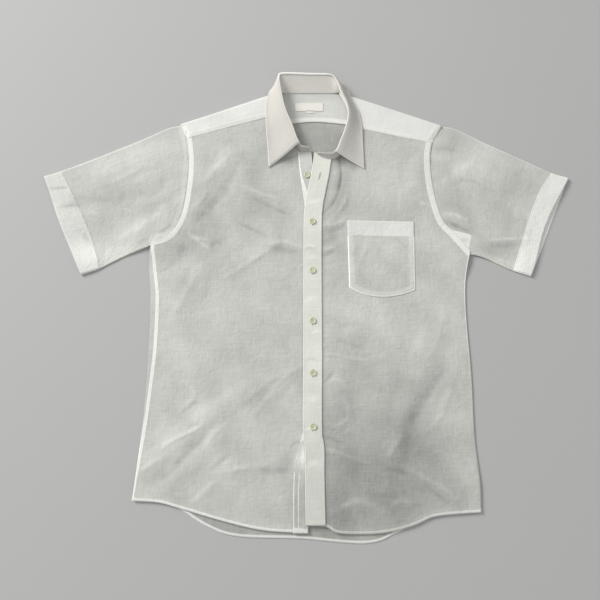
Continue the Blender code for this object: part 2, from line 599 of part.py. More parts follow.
def sleeve_rings(inner_end, side, lower, top, cuff, bow, fold_table):
    """Rings of a flattened tube: upper layer, turn, lower layer, turn."""
    to_cuff = marks((SLEEVE_LAP_MARK, 1), (CUFF_MARK, 8), (CUFF_STEP_MARK, 1), (1.0, 2))
    over = np.linspace(0, 1, SLEEVE_COLUMNS)
    plan = patch(over, to_cuff, along(inner_end, over), along(curve(cuff), over),
                 along(curve([inner_end[0], *lower]), to_cuff),
                 along(curve([inner_end[-1], *top]), to_cuff))
    from_body = distance_to(inner_end, plan)
    lapped = near(from_body, SLEEVE_LEVEL, LAP_SLOPE)
    on_yoke = near(distance_to(curve(BACK_YOKE_SEAM), plan), SLEEVE_ON_YOKE_LEVEL,
                   SLEEVE_ON_YOKE_SLOPE)
    under = STEP * lapped * (1 + on_yoke)
    hem = np.clip((to_cuff - CUFF_RISE_START) / (CUFF_MARK - CUFF_RISE_START), 0, 1)[:, None]
    thick = SLEEVE_THICK + (CUFF_THICK - SLEEVE_THICK) * hem
    over_it = (under + thick) * (1 - lapped) + SLEEVE_LAP_TOP * lapped + folds(plan, fold_table)
    shift = (plan[-3] - plan[-1]) / np.linalg.norm(plan[-3] - plan[-1], axis=-1)[:, None]
    draw_back = bow * np.sin(math.pi * over) ** 1.5
    pull = np.clip((to_cuff - 0.5) / 0.5, 0, 1) ** 2
    upper_plan = plan + pull[:, None, None] * (shift * draw_back[:, None])[None]
    edges = {-1: offset(plan[:, -1], side) - plan[:, -1], 0: offset(plan[:, 0], -side) - plan[:, 0]}
    rings = []
    for i in range(len(to_cuff)):
        upper, below, turns = upper_plan[i].copy(), plan[i].copy(), {}
        for end, outward in edges.items():
            radius = (over_it[i, end] - under[i, end]) / 2
            upper[end] = below[end] = plan[i, end] - outward[i] * radius
            turns[end] = [(*(upper[end] + outward[i] * radius * math.cos(a)),
                           under[i, end] + radius * (1 + math.sin(a)))
                          for a in (math.pi / 4, 0, -math.pi / 4)]
        rings.append([(*xy, z) for xy, z in zip(upper, over_it[i])] + turns[-1]
                     + [(*xy, z) for xy, z in zip(below[::-1], under[i, ::-1])] + turns[0][::-1])
    return to_cuff, rings


def add_sleeve(name, armhole, tip, side, lower, top, cuff, bow, fold_table, group):
    arm = np.vstack([curve(armhole), tip])
    inner_end = offset(arm, side * LAP)
    inner_end[-1] = inner_end[-2] + (inner_end[-1] - inner_end[-2]) * 0.8
    to_cuff, rings = sleeve_rings(inner_end, side, lower, top, cuff, bow, fold_table)
    columns = len(rings[0])
    points = [point for ring in rings for point in ring]
    upper_middle = len(rings) // 2 * columns + 5
    mesh = build_mesh(name, points, grid_faces(len(rings), columns, closed=True),
                      facing_up=True, witness=upper_middle)
    thing = place(name, mesh, "sheer_cloth", group)
    hem = [i * columns + j for i, mark in enumerate(to_cuff) if mark > CUFF_MARK + 0.001
           for j in range(columns)]
    add_wall(thing, CLOTH, -1.0, hem, SLEEVE_HEM_TIMES)


# Collar

def collar_stations(table, first, last):
    """Rows of a collar table from first to last, with soft rows set between them."""
    line = curve(table, per_span=ROWS_PER_STATION)
    return line[first * ROWS_PER_STATION: last * ROWS_PER_STATION + 1]


def add_collar_band(group):
    stations = collar_stations(BAND, 0, len(BAND) - 1)
    rows = []
    for share in np.linspace(0, 1, 4):
        foot, top = stations[:, :3], stations[:, 3:]
        up = top - foot
        length = np.linalg.norm(up, axis=1)[:, None]
        rows.append(foot + up * share * (1 - FALL_SEAM / length))
    points = np.array(rows)
    mesh = build_mesh("collar_band", points, grid_faces(*points.shape[:2]), facing_up=True)
    add_wall(place("collar_band", mesh, "doubled_cloth", group), COLLAR_CLOTH, 0.0)


def add_collar_fall(group):
    tops = collar_stations(BAND, 1, len(BAND) - 2)[:, 3:]
    falls = collar_stations(FALL, 0, len(FALL) - 1)
    edge_points, roll, lie = falls[:, :3], falls[:, 3:6], falls[:, 6:7]
    flat = edge_points + (tops - edge_points) * lie * (1, 1, 0)
    rows = []
    for t in FALL_SHARES:
        rows.append((1 - t) ** 3 * tops + 3 * (1 - t) ** 2 * t * (tops + roll)
                    + 3 * (1 - t) * t * t * flat + t ** 3 * edge_points)
    points = np.array(rows)
    mesh = build_mesh("collar_fall", points, grid_faces(*points.shape[:2]), facing_up=True)
    add_wall(place("collar_fall", mesh, "doubled_cloth", group), COLLAR_CLOTH, 0.0)


def add_label(name, size, group):
    shares = np.linspace(0, 1, 3)
    x = size["x"][0] + (size["x"][1] - size["x"][0]) * shares
    y = size["y"][0] + (size["y"][1] - size["y"][0]) * shares
    plan = np.stack(np.meshgrid(x, y), axis=-1)
    flat_sheet(name, plan, INNER_YOKE_LIE + STEP, "label_satin", group, thickness=LABEL_CLOTH)


# Buttons

def add_button(name, x, y, seat, shank, group):
    """A dished button on a thread shank, turned from its profile."""
    dish = BUTTON_THICK - BUTTON_WELL
    profile = [(0.0, dish), (BUTTON_WELL_RADIUS, dish), (BUTTON_RIM_RADIUS, BUTTON_THICK),
               (BUTTON_RADIUS - BUTTON_EDGE, BUTTON_THICK),
               (BUTTON_RADIUS, BUTTON_THICK - BUTTON_EDGE), (BUTTON_RADIUS, BUTTON_UNDERCUT),
               (BUTTON_RADIUS - BUTTON_UNDERCUT, 0.0)]
    if shank:
        profile += [(THREAD_RADIUS, 0.0), (THREAD_RADIUS, -shank), (0.0, -shank)]
    else:
        profile += [(0.0, 0.0)]
    mesh = bpy.data.meshes.new(name)
    edges = [(i, i + 1) for i in range(len(profile) - 1)]
    mesh.from_pydata([(r, 0.0, z) for r, z in profile], edges, [])
    thing = place(name, mesh, "button_shell", group)
    thing.location = (x + LAID[0], y + LAID[1], seat)
    turn = thing.modifiers.new("turned", "SCREW")
    turn.axis = "Z"
    turn.steps = BUTTON_SEGMENTS
    turn.render_steps = BUTTON_SEGMENTS
    turn.use_merge_vertices = True
    turn.merge_threshold = 0.00001
    turn.use_normal_calculate = False
    return thing


def cut_buttonhole(panels, x, y, width, cutters):
    bpy.ops.mesh.primitive_cube_add(size=1.0, location=(x + LAID[0], y + LAID[1],
                                                        CUTTER_HEIGHT / 2))
    cutter = bpy.context.object
    cutter.name = "buttonhole_cutter"
    cutter.scale = (width, BUTTONHOLE_LENGTH, CUTTER_HEIGHT)
    bpy.ops.object.transform_apply(location=False, rotation=False, scale=True)
    for home in list(cutter.users_collection):
        home.objects.unlink(cutter)
    cutters.objects.link(cutter)
    cutter.hide_render = True
    cutter.display_type = "WIRE"
    for panel in panels:
        cut = panel.modifiers.new("buttonhole", "BOOLEAN")
        cut.operation = "DIFFERENCE"
        cut.object = cutter


def add_buttons(panels, group, cutters):
    seat = FRONT_LIE + 2 * STEP
    add_button("button_1", *OPEN_BUTTON, seat, 0.0, group)
    cut_buttonhole(panels, *OPEN_BUTTONHOLE, BUTTONHOLE_SHUT, cutters)
    for k in range(BUTTONS_SHUT):
        y = BUTTON_TOP_Y - k * BUTTON_PITCH
        seat = FRONT_LIE + 4 * STEP
        add_button(f"button_{k + 2}", BUTTON_X, y, seat, 2 * STEP, group)
        cut_buttonhole(panels, BUTTON_X, y, BUTTONHOLE_OPEN, cutters)


def main():
    start_clean()
    shirt = collection("short_sleeved_shirt")
    cutters = collection("cutters")
    add_back(shirt)
    left_front = add_fronts(shirt)
    placket = add_front_bands(shirt)
    add_pocket(shirt)
    add_yoke(shirt)
    add_inner_yoke(shirt)
    add_sleeve("right_sleeve", RIGHT_ARMHOLE, RIGHT_TIP, -1, RIGHT_SLEEVE_LOWER,
               RIGHT_SLEEVE_TOP, RIGHT_CUFF, 0.0, RIGHT_SLEEVE_FOLDS, shirt)
    add_sleeve("left_sleeve", LEFT_ARMHOLE, LEFT_TIP, 1, LEFT_SLEEVE_LOWER,
               LEFT_SLEEVE_TOP, LEFT_CUFF, LEFT_CUFF_BOW, LEFT_SLEEVE_FOLDS, shirt)
    add_collar_band(shirt)
    add_collar_fall(shirt)
    add_label("neck_label", LABEL, shirt)
    add_label("size_tab", SIZE_TAB, shirt)
    add_buttons([left_front, placket], shirt, cutters)


main()
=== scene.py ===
"""Looks of a short-sleeved shirt of sheer plain-weave cloth, buttoned and laid flat on its back.

Metres, +Z up, +Y towards the collar, +X towards the wearer's left sleeve.
"""
import math
from functools import partial

import bmesh
import bpy
import numpy as np
from mathutils import Matrix, Vector


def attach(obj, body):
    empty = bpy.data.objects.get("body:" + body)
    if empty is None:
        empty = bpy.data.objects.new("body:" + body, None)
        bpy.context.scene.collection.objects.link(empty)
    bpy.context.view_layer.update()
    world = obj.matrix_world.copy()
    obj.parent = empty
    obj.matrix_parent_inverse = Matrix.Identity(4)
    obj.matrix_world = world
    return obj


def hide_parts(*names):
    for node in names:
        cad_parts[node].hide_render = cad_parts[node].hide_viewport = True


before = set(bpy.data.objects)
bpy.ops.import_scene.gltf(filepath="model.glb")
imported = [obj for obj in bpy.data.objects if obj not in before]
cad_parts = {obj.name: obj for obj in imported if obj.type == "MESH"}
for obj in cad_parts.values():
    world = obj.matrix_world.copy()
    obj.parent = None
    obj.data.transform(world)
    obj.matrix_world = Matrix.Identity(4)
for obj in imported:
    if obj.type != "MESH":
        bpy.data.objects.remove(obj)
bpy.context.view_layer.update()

# Cloth and how it is stacked
CLOTH = 0.0010
GAP = 0.0003
STEP = CLOTH + GAP
LABEL_CLOTH = 0.0005

# Seams and turnings
HEM = 0.007
HEM_TIMES = 1.6
SLEEVE_HEM = 0.032
LAP = 0.0095
HALF_LAP = 0.005
POCKET_HEM = 0.028
POCKET_HEIGHT = 0.125
PLACKET_WIDTH = 0.0325
BAND_WIDTH = 0.0245
FRONT_LENGTH = 0.640
SLEEVE_LENGTH = 0.230

# Heights of what lies flat, measured at the underside
FRONT_LIE = STEP
INNER_YOKE_LIE = 2 * STEP
SLEEVE_THICK = 0.0030
CUFF_THICK = 0.0052
SLEEVE_LAP_TOP = 0.0050
LAP_LIE = SLEEVE_LAP_TOP + GAP
YOKE_FRONT_LIE = LAP_LIE + STEP
YOKE_TURN = (YOKE_FRONT_LIE + CLOTH) / 2

# How far from a seam or edge a layer stays level, and over what width it then comes down
LAP_LEVEL = LAP + 0.008
LAP_SLOPE = 0.040
YOKE_LEVEL = LAP + 0.008
YOKE_SLOPE = 0.055
HEM_LEVEL = 0.030
HEM_SLOPE = 0.060
BAND_LEVEL = 0.045
BAND_SLOPE = 0.045
BACK_LEVEL = 0.014
BACK_SLOPE = 0.030
SLEEVE_LEVEL = LAP + 0.010
SLEEVE_ON_YOKE_LEVEL = HALF_LAP + 0.015
SLEEVE_ON_YOKE_SLOPE = 0.030

# Shares of a panel's width or height where its seams and turnings fall
HEM_MARK = HEM / FRONT_LENGTH
HEM_STEP_MARK = HEM_MARK + 0.003
FRONT_UNDERARM = 0.68
BACK_UNDERARM = 0.66
BAND_END = 0.115
NECKLINE_END = 0.33
POCKET_HEM_MARK = 1 - POCKET_HEM / POCKET_HEIGHT
CUFF_MARK = 1 - SLEEVE_HEM / SLEEVE_LENGTH
CUFF_STEP_MARK = CUFF_MARK + 0.01
CUFF_RISE_START = 0.70
SLEEVE_LAP_MARK = 0.06
YOKE_NECK = (0.40, 0.60)
INNER_YOKE_NECK = (0.37, 0.63)
INNER_YOKE_SHOULDER = 0.08
INNER_YOKE_SEAM = (0.035, 0.965)
INNER_YOKE_INSET = 0.007
INNER_NECK_INSET = 0.0010
INNER_CORNER_INSET = 0.0012

# Buttons and buttonholes
BUTTON_RADIUS = 0.0056
BUTTON_THICK = 0.0021
THREAD_RADIUS = 0.0009
BUTTONHOLE_LENGTH = 0.013
OPEN_BUTTON = (0.0015, 0.217)
OPEN_BUTTONHOLE = (0.024, 0.216)
BUTTON_X = 0.0110
BUTTON_TOP_Y = 0.1290
BUTTON_PITCH = 0.0895
BUTTON_TURNS = (0.35, 0.0, 0.5, 0.15, -0.3, 0.4)
BUTTONS_SHUT = 5

# Moves the plan so that the laid shirt is centred on the origin
LAID = (0.0, 0.00037)

# Outlines, x and y from the hem upwards. The wearer's right is at -X.
RIGHT_SIDE = [(-0.287, -0.348), (-0.281, -0.287), (-0.274, -0.200), (-0.271, -0.100),
              (-0.272, -0.010), (-0.277, 0.050), (-0.276, 0.083), (-0.271, 0.096)]
LEFT_SIDE = [(0.285, -0.366), (0.286, -0.318), (0.281, -0.240), (0.281, -0.146),
             (0.278, -0.060), (0.278, 0.000), (0.283, 0.045), (0.290, 0.075)]
RIGHT_ARMHOLE = [(-0.271, 0.096), (-0.252, 0.101), (-0.236, 0.116), (-0.222, 0.150),
                 (-0.215, 0.205), (-0.2145, 0.248), (-0.220, 0.2915)]
LEFT_ARMHOLE = [(0.290, 0.075), (0.264, 0.107), (0.243, 0.132), (0.230, 0.180),
                (0.225, 0.223), (0.2255, 0.255), (0.2305, 0.2825)]
RIGHT_TIP = (-0.231, 0.316)
LEFT_TIP = (0.250, 0.313)
RIGHT_NECK_SIDE = (-0.050, 0.3805)
LEFT_NECK_SIDE = (0.063, 0.3800)

RIGHT_SHOULDER = [RIGHT_TIP, (-0.160, 0.341), (-0.091, 0.366), RIGHT_NECK_SIDE]
LEFT_SHOULDER = [LEFT_NECK_SIDE, (0.078, 0.374), (0.166, 0.343), LEFT_TIP]
BACK_NECK = [RIGHT_NECK_SIDE, (-0.030, 0.3822), (0.007, 0.3822), (0.043, 0.3822), LEFT_NECK_SIDE]
RIGHT_STRIP_NECK = [(-0.043, 0.341), (-0.051, 0.366), RIGHT_NECK_SIDE]
LEFT_STRIP_NECK = [(0.081, 0.3148), (0.077, 0.350), LEFT_NECK_SIDE]

RIGHT_YOKE_SEAM = [(-0.043, 0.341), (-0.092, 0.328), (-0.209, 0.295), (-0.220, 0.2915)]
LEFT_YOKE_SEAM = [(0.081, 0.3148), (0.103, 0.310), (0.218, 0.285), (0.2305, 0.2825)]
BACK_YOKE_SEAM = [(-0.220, 0.2915), (-0.120, 0.312), (-0.023, 0.323), (0.034, 0.325),
                  (0.120, 0.312), (0.2305, 0.2825)]

BAND_TOP = [(0.009, 0.266), (-0.014, 0.266)]
RIGHT_NECKLINE = [(-0.014, 0.266), (-0.029, 0.302), (-0.043, 0.341)]
PLACKET_TOP = [(0.015, 0.260), (0.045, 0.251)]
LEFT_NECKLINE = [(0.045, 0.251), (0.064, 0.268), (0.077, 0.290), (0.081, 0.3148)]

# Free edges at the centre front, from the hem upwards
RIGHT_EDGE = [(0.002, -0.3985), (0.002, -0.330), (0.006, -0.285), (0.020, -0.229), (0.022, -0.139),
              (0.023, 0.041), (0.0235, 0.129), (0.020, 0.175), (0.014, 0.217), (0.009, 0.266)]
LEFT_EDGE = [(-0.002, -0.386), (-0.003, -0.314), (-0.003, -0.265), (-0.0065, -0.235),
             (-0.0055, -0.100), (-0.005, 0.095), (-0.003, 0.155), (0.004, 0.195), (0.010, 0.225),
             (0.015, 0.260)]

RIGHT_FRONT_HEM = [(0.002, -0.3985), (-0.070, -0.394), (-0.132, -0.381), (-0.211, -0.359),
                   (-0.243, -0.351), (-0.287, -0.348)]
LEFT_FRONT_HEM = [(-0.002, -0.386), (0.030, -0.388), (0.051, -0.398), (0.098, -0.400),
                  (0.138, -0.396), (0.176, -0.386), (0.208, -0.373), (0.255, -0.368),
                  (0.285, -0.366)]
BACK_HEM = [(-0.287, -0.348), (-0.240, -0.350), (-0.212, -0.3595), (-0.164, -0.388),
            (-0.113, -0.404), (-0.012, -0.4075), (0.051, -0.413), (0.091, -0.415),
            (0.119, -0.411), (0.141, -0.401), (0.176, -0.384), (0.208, -0.371),
            (0.255, -0.3665), (0.285, -0.366)]

# Sleeves: lower edge from the underarm, top edge from the shoulder tip, cuff from below
RIGHT_SLEEVE_LOWER = [(-0.286, 0.0805), (-0.325, 0.064), (-0.365, 0.043), (-0.396, 0.0315)]
RIGHT_SLEEVE_TOP = [(-0.255, 0.308), (-0.300, 0.287), (-0.375, 0.254), (-0.444, 0.225),
                    (-0.475, 0.215)]
RIGHT_CUFF = [(-0.396, 0.0315), (-0.422, 0.085), (-0.448, 0.143), (-0.475, 0.215)]
LEFT_SLEEVE_LOWER = [(0.304, 0.066), (0.327, 0.057), (0.360, 0.041), (0.394, 0.029)]
LEFT_SLEEVE_TOP = [(0.275, 0.307), (0.326, 0.281), (0.385, 0.252), (0.444, 0.222), (0.475, 0.212)]
LEFT_CUFF = [(0.394, 0.029), (0.414, 0.070), (0.436, 0.120), (0.475, 0.212)]
LEFT_CUFF_BOW = 0.0095
RIGHT_CUFF_BOW = 0.0030

# Where the cuffs' turnings end, from the top edge down
RIGHT_CUFF_LINE = [(-0.452, 0.243), (-0.443, 0.223), (-0.414, 0.168), (-0.388, 0.115),
                   (-0.371, 0.069), (-0.366, 0.048), (-0.363, 0.030)]
LEFT_CUFF_LINE = [(0.454, 0.240), (0.444, 0.221), (0.421, 0.186), (0.400, 0.140), (0.383, 0.093),
                  (0.366, 0.045), (0.361, 0.025)]

POCKET_LEFT = [(0.075, 0.009), (0.073, 0.132)]
POCKET_RIGHT = [(0.191, 0.004), (0.193, 0.129)]
POCKET_TOP = [(0.073, 0.132), (0.193, 0.129)]
POCKET_BOTTOM = [(0.075, 0.009), (0.100, -0.003), (0.134, -0.008), (0.166, -0.004),
                 (0.191, 0.004)]

LABEL = {"x": (-0.020, 0.032), "y": (0.342, 0.359)}
LABEL_EDGE = 0.0002
SIZE_TAB = {"x": (0.000, 0.014), "y": (0.3385, 0.3435)}

# Largest folds: x and y of both ends, half width, height
RIGHT_FRONT_FOLDS = [
    (-0.255, -0.290, -0.168, -0.213, 0.028, 0.0036),
    (-0.168, -0.213, -0.060, -0.148, 0.024, 0.0032),
    (-0.235, -0.325, -0.150, -0.250, 0.024, 0.0026),
    (-0.122, -0.294, -0.045, -0.285, 0.022, 0.0018),
    (-0.131, 0.132, -0.060, 0.094, 0.024, 0.0026),
    (-0.134, 0.041, -0.060, 0.086, 0.022, 0.0018),
    (-0.101, 0.189, -0.050, 0.160, 0.022, 0.0022),
    (-0.142, 0.250, -0.184, 0.160, 0.026, 0.0028),
]
LEFT_FRONT_FOLDS = [
    (0.215, -0.080, 0.172, -0.190, 0.030, 0.0030),
    (0.172, -0.190, 0.146, -0.275, 0.026, 0.0030),
    (0.176, -0.304, 0.245, -0.345, 0.024, 0.0026),
    (0.063, 0.215, 0.058, 0.165, 0.020, 0.0028),
    (0.090, -0.060, 0.060, -0.150, 0.024, 0.0018),
    (0.205, 0.235, 0.185, 0.150, 0.024, 0.0020),
]
RIGHT_SLEEVE_FOLDS = [
    (-0.370, 0.215, -0.265, 0.262, 0.030, 0.0035),
    (-0.365, 0.150, -0.265, 0.175, 0.030, 0.0030),
]
LEFT_SLEEVE_FOLDS = [
    (0.310, 0.085, 0.385, 0.105, 0.026, 0.0030),
    (0.290, 0.215, 0.390, 0.195, 0.030, 0.0030),
]

# Collar band, from the wearer's right front end round the back: foot x, y, z, top x, y, z
BAND = [
    (0.0085, 0.2635, 0.0044, 0.0080, 0.2685, 0.0150),
    (-0.0150, 0.2670, 0.0044, -0.0120, 0.2730, 0.0190),
    (-0.0315, 0.3010, 0.0058, -0.0260, 0.3080, 0.0215),
    (-0.0455, 0.3380, 0.0084, -0.0390, 0.3410, 0.0230),
    (-0.0535, 0.3660, 0.0088, -0.0460, 0.3740, 0.0235),
    (-0.0495, 0.3790, 0.0084, -0.0490, 0.3900, 0.0228),
    (-0.0450, 0.3795, 0.0064, -0.0500, 0.4030, 0.0210),
    (-0.0330, 0.3795, 0.0048, -0.0430, 0.4110, 0.0190),
    (0.0070, 0.3795, 0.0048, 0.0070, 0.4105, 0.0180),
    (0.0450, 0.3795, 0.0048, 0.0450, 0.4085, 0.0185),
    (0.0570, 0.3790, 0.0064, 0.0555, 0.3960, 0.0210),
    (0.0640, 0.3775, 0.0086, 0.0600, 0.3840, 0.0225),
    (0.0715, 0.3660, 0.0090, 0.0645, 0.3700, 0.0230),
    (0.0800, 0.3450, 0.0090, 0.0730, 0.3500, 0.0225),
    (0.0845, 0.3180, 0.0090, 0.0765, 0.3280, 0.0220),
    (0.0805, 0.2890, 0.0080, 0.0715, 0.3030, 0.0205),
    (0.0660, 0.2650, 0.0072, 0.0625, 0.2790, 0.0190),
    (0.0455, 0.2480, 0.0070, 0.0520, 0.2580, 0.0170),
    (0.0190, 0.2575, 0.0070, 0.0215, 0.2565, 0.0160),
]

# Collar fall at each row of the band but its two ends: edge x, y, z, roll x, y, z, and how
# flat it lies
FALL = [
    (-0.0680, 0.2320, 0.0040, -0.004, -0.003, 0.001, 0.45),
    (-0.0705, 0.2680, 0.0050, -0.005, -0.001, 0.002, 0.45),
    (-0.0735, 0.3090, 0.0092, -0.006, 0.000, 0.002, 0.45),
    (-0.0745, 0.3455, 0.0092, -0.006, 0.001, 0.002, 0.45),
    (-0.0690, 0.3775, 0.0092, -0.006, 0.003, 0.001, 0.45),
    (-0.0610, 0.3870, 0.0025, -0.005, 0.004, -0.001, 0.60),
    (-0.0420, 0.3875, 0.0008, -0.002, 0.006, -0.003, 0.85),
    (0.0070, 0.3875, 0.0008, 0.000, 0.006, -0.003, 0.85),
    (0.0480, 0.3875, 0.0008, 0.002, 0.006, -0.003, 0.85),
    (0.0700, 0.3880, 0.0025, 0.005, 0.004, -0.001, 0.60),
    (0.0790, 0.3780, 0.0092, 0.006, 0.003, 0.001, 0.45),
    (0.0870, 0.3600, 0.0092, 0.006, 0.001, 0.002, 0.45),
    (0.0980, 0.3370, 0.0092, 0.006, 0.000, 0.002, 0.45),
    (0.1025, 0.3100, 0.0092, 0.006, 0.000, 0.002, 0.45),
    (0.1035, 0.2850, 0.0082, 0.005, -0.001, 0.002, 0.45),
    (0.1050, 0.2550, 0.0050, 0.005, -0.002, 0.002, 0.45),
    (0.1060, 0.2290, 0.0040, 0.004, -0.003, 0.001, 0.45),
]
FALL_SEAM = 0.0019

# Cloth as it shows: thin shells on the surfaces of the solids
THIN = 0.0006
SINGLE = 0.02
COLLAR_THIN = 0.0009
BACK_THIN = 0.0009
SINK = 0.0005
CRINKLE = 0.00035
CRINKLE_SIZE = 0.045
CREASE_GAIN = 0.95
# Strength of the painted highlight and shade along creases
CREASE_PAINTED_SHADING = 1.6
CREASE_UNEVEN = 0.7
FOLDS_SHOWN = 0.55
CUFF_RISE = 0.0003

# Collar: rows to each row of its tables, shares of its height, and the whiter rim at its ends; on
# the stand's top edge near its ends this rim is widened as a painted highlight where the edge faces
# the light
COLLAR_ROWS = 6
NECK_MIDDLE = (0.015, 0.335)
STAND_SHARES = np.linspace(-0.08, 1, 13)
STAND_HOLLOW = 0.0008
STAND_RIM_WITH_HIGHLIGHT = ((0, 0.030, 0.045), (0.0032, 0.0032, 0.0015))
FALL_SHARES = np.linspace(0, 1, 34) ** 1.15
LIP = 0.0030
LIP_TURN = ((1.0, 1.10), (0.65, 1.12), (0.30, 1.0), (0.08, 0.55))
LIP_ROWS = len(LIP_TURN)
FALL_RIM = 0.0012
# Whiter line along the collar's roll: partly cloth seen edge-on at the fold, partly a painted
# highlight on its crest
FALL_FOLD_RIM_AND_HIGHLIGHT = 0.0010

# How much seams, edges and layers lower the cloth or change its tone, with painted shade beside the
# placket and painted light on the sleeves' under sheets
BAND_RELIEF = 0.00025
TONE_SPREAD = 0.06
# Painted shade beside the placket's edge
PLACKET_SHADE = 0.12
SEAM_GLOW = 0.13
SEAM_STRIP = 0.0085
SINGLE_TONE = 0.78
CUFF_TONE = (-0.18, 0.02)
EDGE_GLOW = 0.22
# Painted light on the under sheet of each sleeve
UNDER_SHEET_PAINTED_LIGHT = 0.12
ARM_SINK = 0.0004
YOKE_SINK = 0.0011
TIP_SINK = 0.0024
FOLD_SHARE = 0.12

# Turnings and felled seams that show as whiter bands, and how far in their stitches lie
ARM_BAND = 0.0106
HEM_SHOWN = 0.0046
BAND_TURNING = 0.0075
BAND_OPEN_Y = -0.302
BAND_OPEN_RAGGED = 0.004
BAND_OPEN_SHADE = 0.06
BAND_OUTER_RIM = 0.001
BAND_LINES = ((0.0012, 0.0012), (0.0092, 0.0009))
BAND_TURNING_AT = ((-0.256, -0.250, 0.190, 0.225), (-0.001, BAND_TURNING, BAND_TURNING, 0.0022))
PLACKET_STITCH = 0.0015
HEM_STITCH = 0.0006
ARM_STITCH = 0.0014
EDGE_STITCH = 0.0012
POCKET_STITCH = 0.0016
CORNER_INSET = 0.001
CUFF_STITCH = 0.0010
POCKET_TURNING = 0.0090
POCKET_RIM = 0.0022
POCKET_SINK = 0.0006
POCKET_STRIP_GLOW = 0.20
POCKET_TOP_SHADE = 0.10
YOKE_TURNING = 0.0090

# Pitch, length and width of stitches, and how high the thread lies
SEAM_STITCHES = (0.0023, 0.0018, 0.00042)
CLOSE_STITCHES = (0.00045, 0.0014, 0.00042)
THREAD_RISE = 0.0001

# Weave: height of threads and slubs, and the streaks' scales along and across with their place
THREAD_PITCH = 0.0009
THREAD_RELIEF = 0.00004
SLUB_RELIEF = 0.00012
SLUB_STREAKS = (((35.0, 620.0, 1.0), 0.0), ((560.0, 40.0, 1.0), 9.0),
                ((12.0, 260.0, 1.0), 4.0), ((300.0, 14.0, 1.0), 17.0))

# Doubled bands: how soft their edges are, and where a bright rim runs inside them
BAND_BLUR = 0.0005
RIM_INSET = 0.0007
RIM_REACH = 0.0012
CLOTH_SHEEN = {"Roughness": 0.85, "Specular IOR Level": 0.25, "Sheen Weight": 0.12,
               "Sheen Roughness": 0.5}

# Buttonholes and the buttons' sewing holes
BUTTONHOLE_SLIT = 0.0007
HOLE_APART = 0.0022
HOLE_RADIUS = 0.00058

# Linear colours
SHEER = (0.530, 0.537, 0.500)
DOUBLED = (0.790, 0.795, 0.755)
LAYERED = (0.750, 0.757, 0.690)
BRIGHT = (0.820, 0.822, 0.775)
COLLAR = (0.635, 0.615, 0.570)
YOKE = (0.765, 0.772, 0.735)
COLLAR_EDGE = (0.840, 0.835, 0.790)
FLOOR_COLOUR = (0.46, 0.46, 0.455)

# Single and doubled colour, gain at bright edges, slubs, mottling and crumpling of each cloth
CLOTHS = {"sheer": (SHEER, DOUBLED, 0.05, 0.13, 0.30, 0.0009),
          "doubled": (LAYERED, BRIGHT, 0.03, 0.07, 0.12, 0.0004),
          "collar": (COLLAR, COLLAR_EDGE, 0.04, 0.05, 0.08, 0.0003),
          "yoke": (YOKE, BRIGHT, 0.03, 0.07, 0.14, 0.0005)}

# Colour and its spread, scale of the noise, roughness, bump height and coat of each small part
FINISHES = {"bare_label_satin": ((0.80, 0.78, 0.72), 0.05, 900.0, 0.55, 0.00005),
            "ivory_shell": ((0.60, 0.61, 0.42), 0.14, 260.0, 0.30, 0.00002, 0.4),
            "white_thread": ((0.78, 0.77, 0.72), 0.06, 1500.0, 0.8, 0.0)}

# Tones of the inner yoke and of the collar's parts, with painted shade on the stand's ends and on
# the upper part of the wearer's left collar leaf
INNER_TONE = 0.84
STAND_TONE = 1.12
STAND_END_SHADE = 0.30
LEAF_SHADE = 0.12
LEAF_SHADE_Y = 0.290
LEAF_SHADE_REACH = 0.060

# Light and camera
HALF_FLOOR = 4.0
WORLD_STRENGTH = 0.50
KEY_POWER = 206.0
FILL_POWER = 7.0
PICTURE_PIXELS = 600
FOCAL_PIXELS = 589.0
CAMERA_PLACE = (-0.01119, -0.19988, 1.01275)
CAMERA_TARGET = (-0.01119, -0.01218, 0.0)

# The felled side seam: its width, and how far in its inner edge lies: y, distance
SIDE_BAND = 0.0058
RIGHT_SIDE_BAND = ((-0.340, -0.272, -0.174, -0.097, -0.001, 0.060, 0.083),
                   (0.0028, 0.0055, 0.0095, 0.0138, 0.0148, 0.0115, 0.0070))
LEFT_SIDE_BAND = ((-0.340, 0.083), (0.0014, 0.0018))
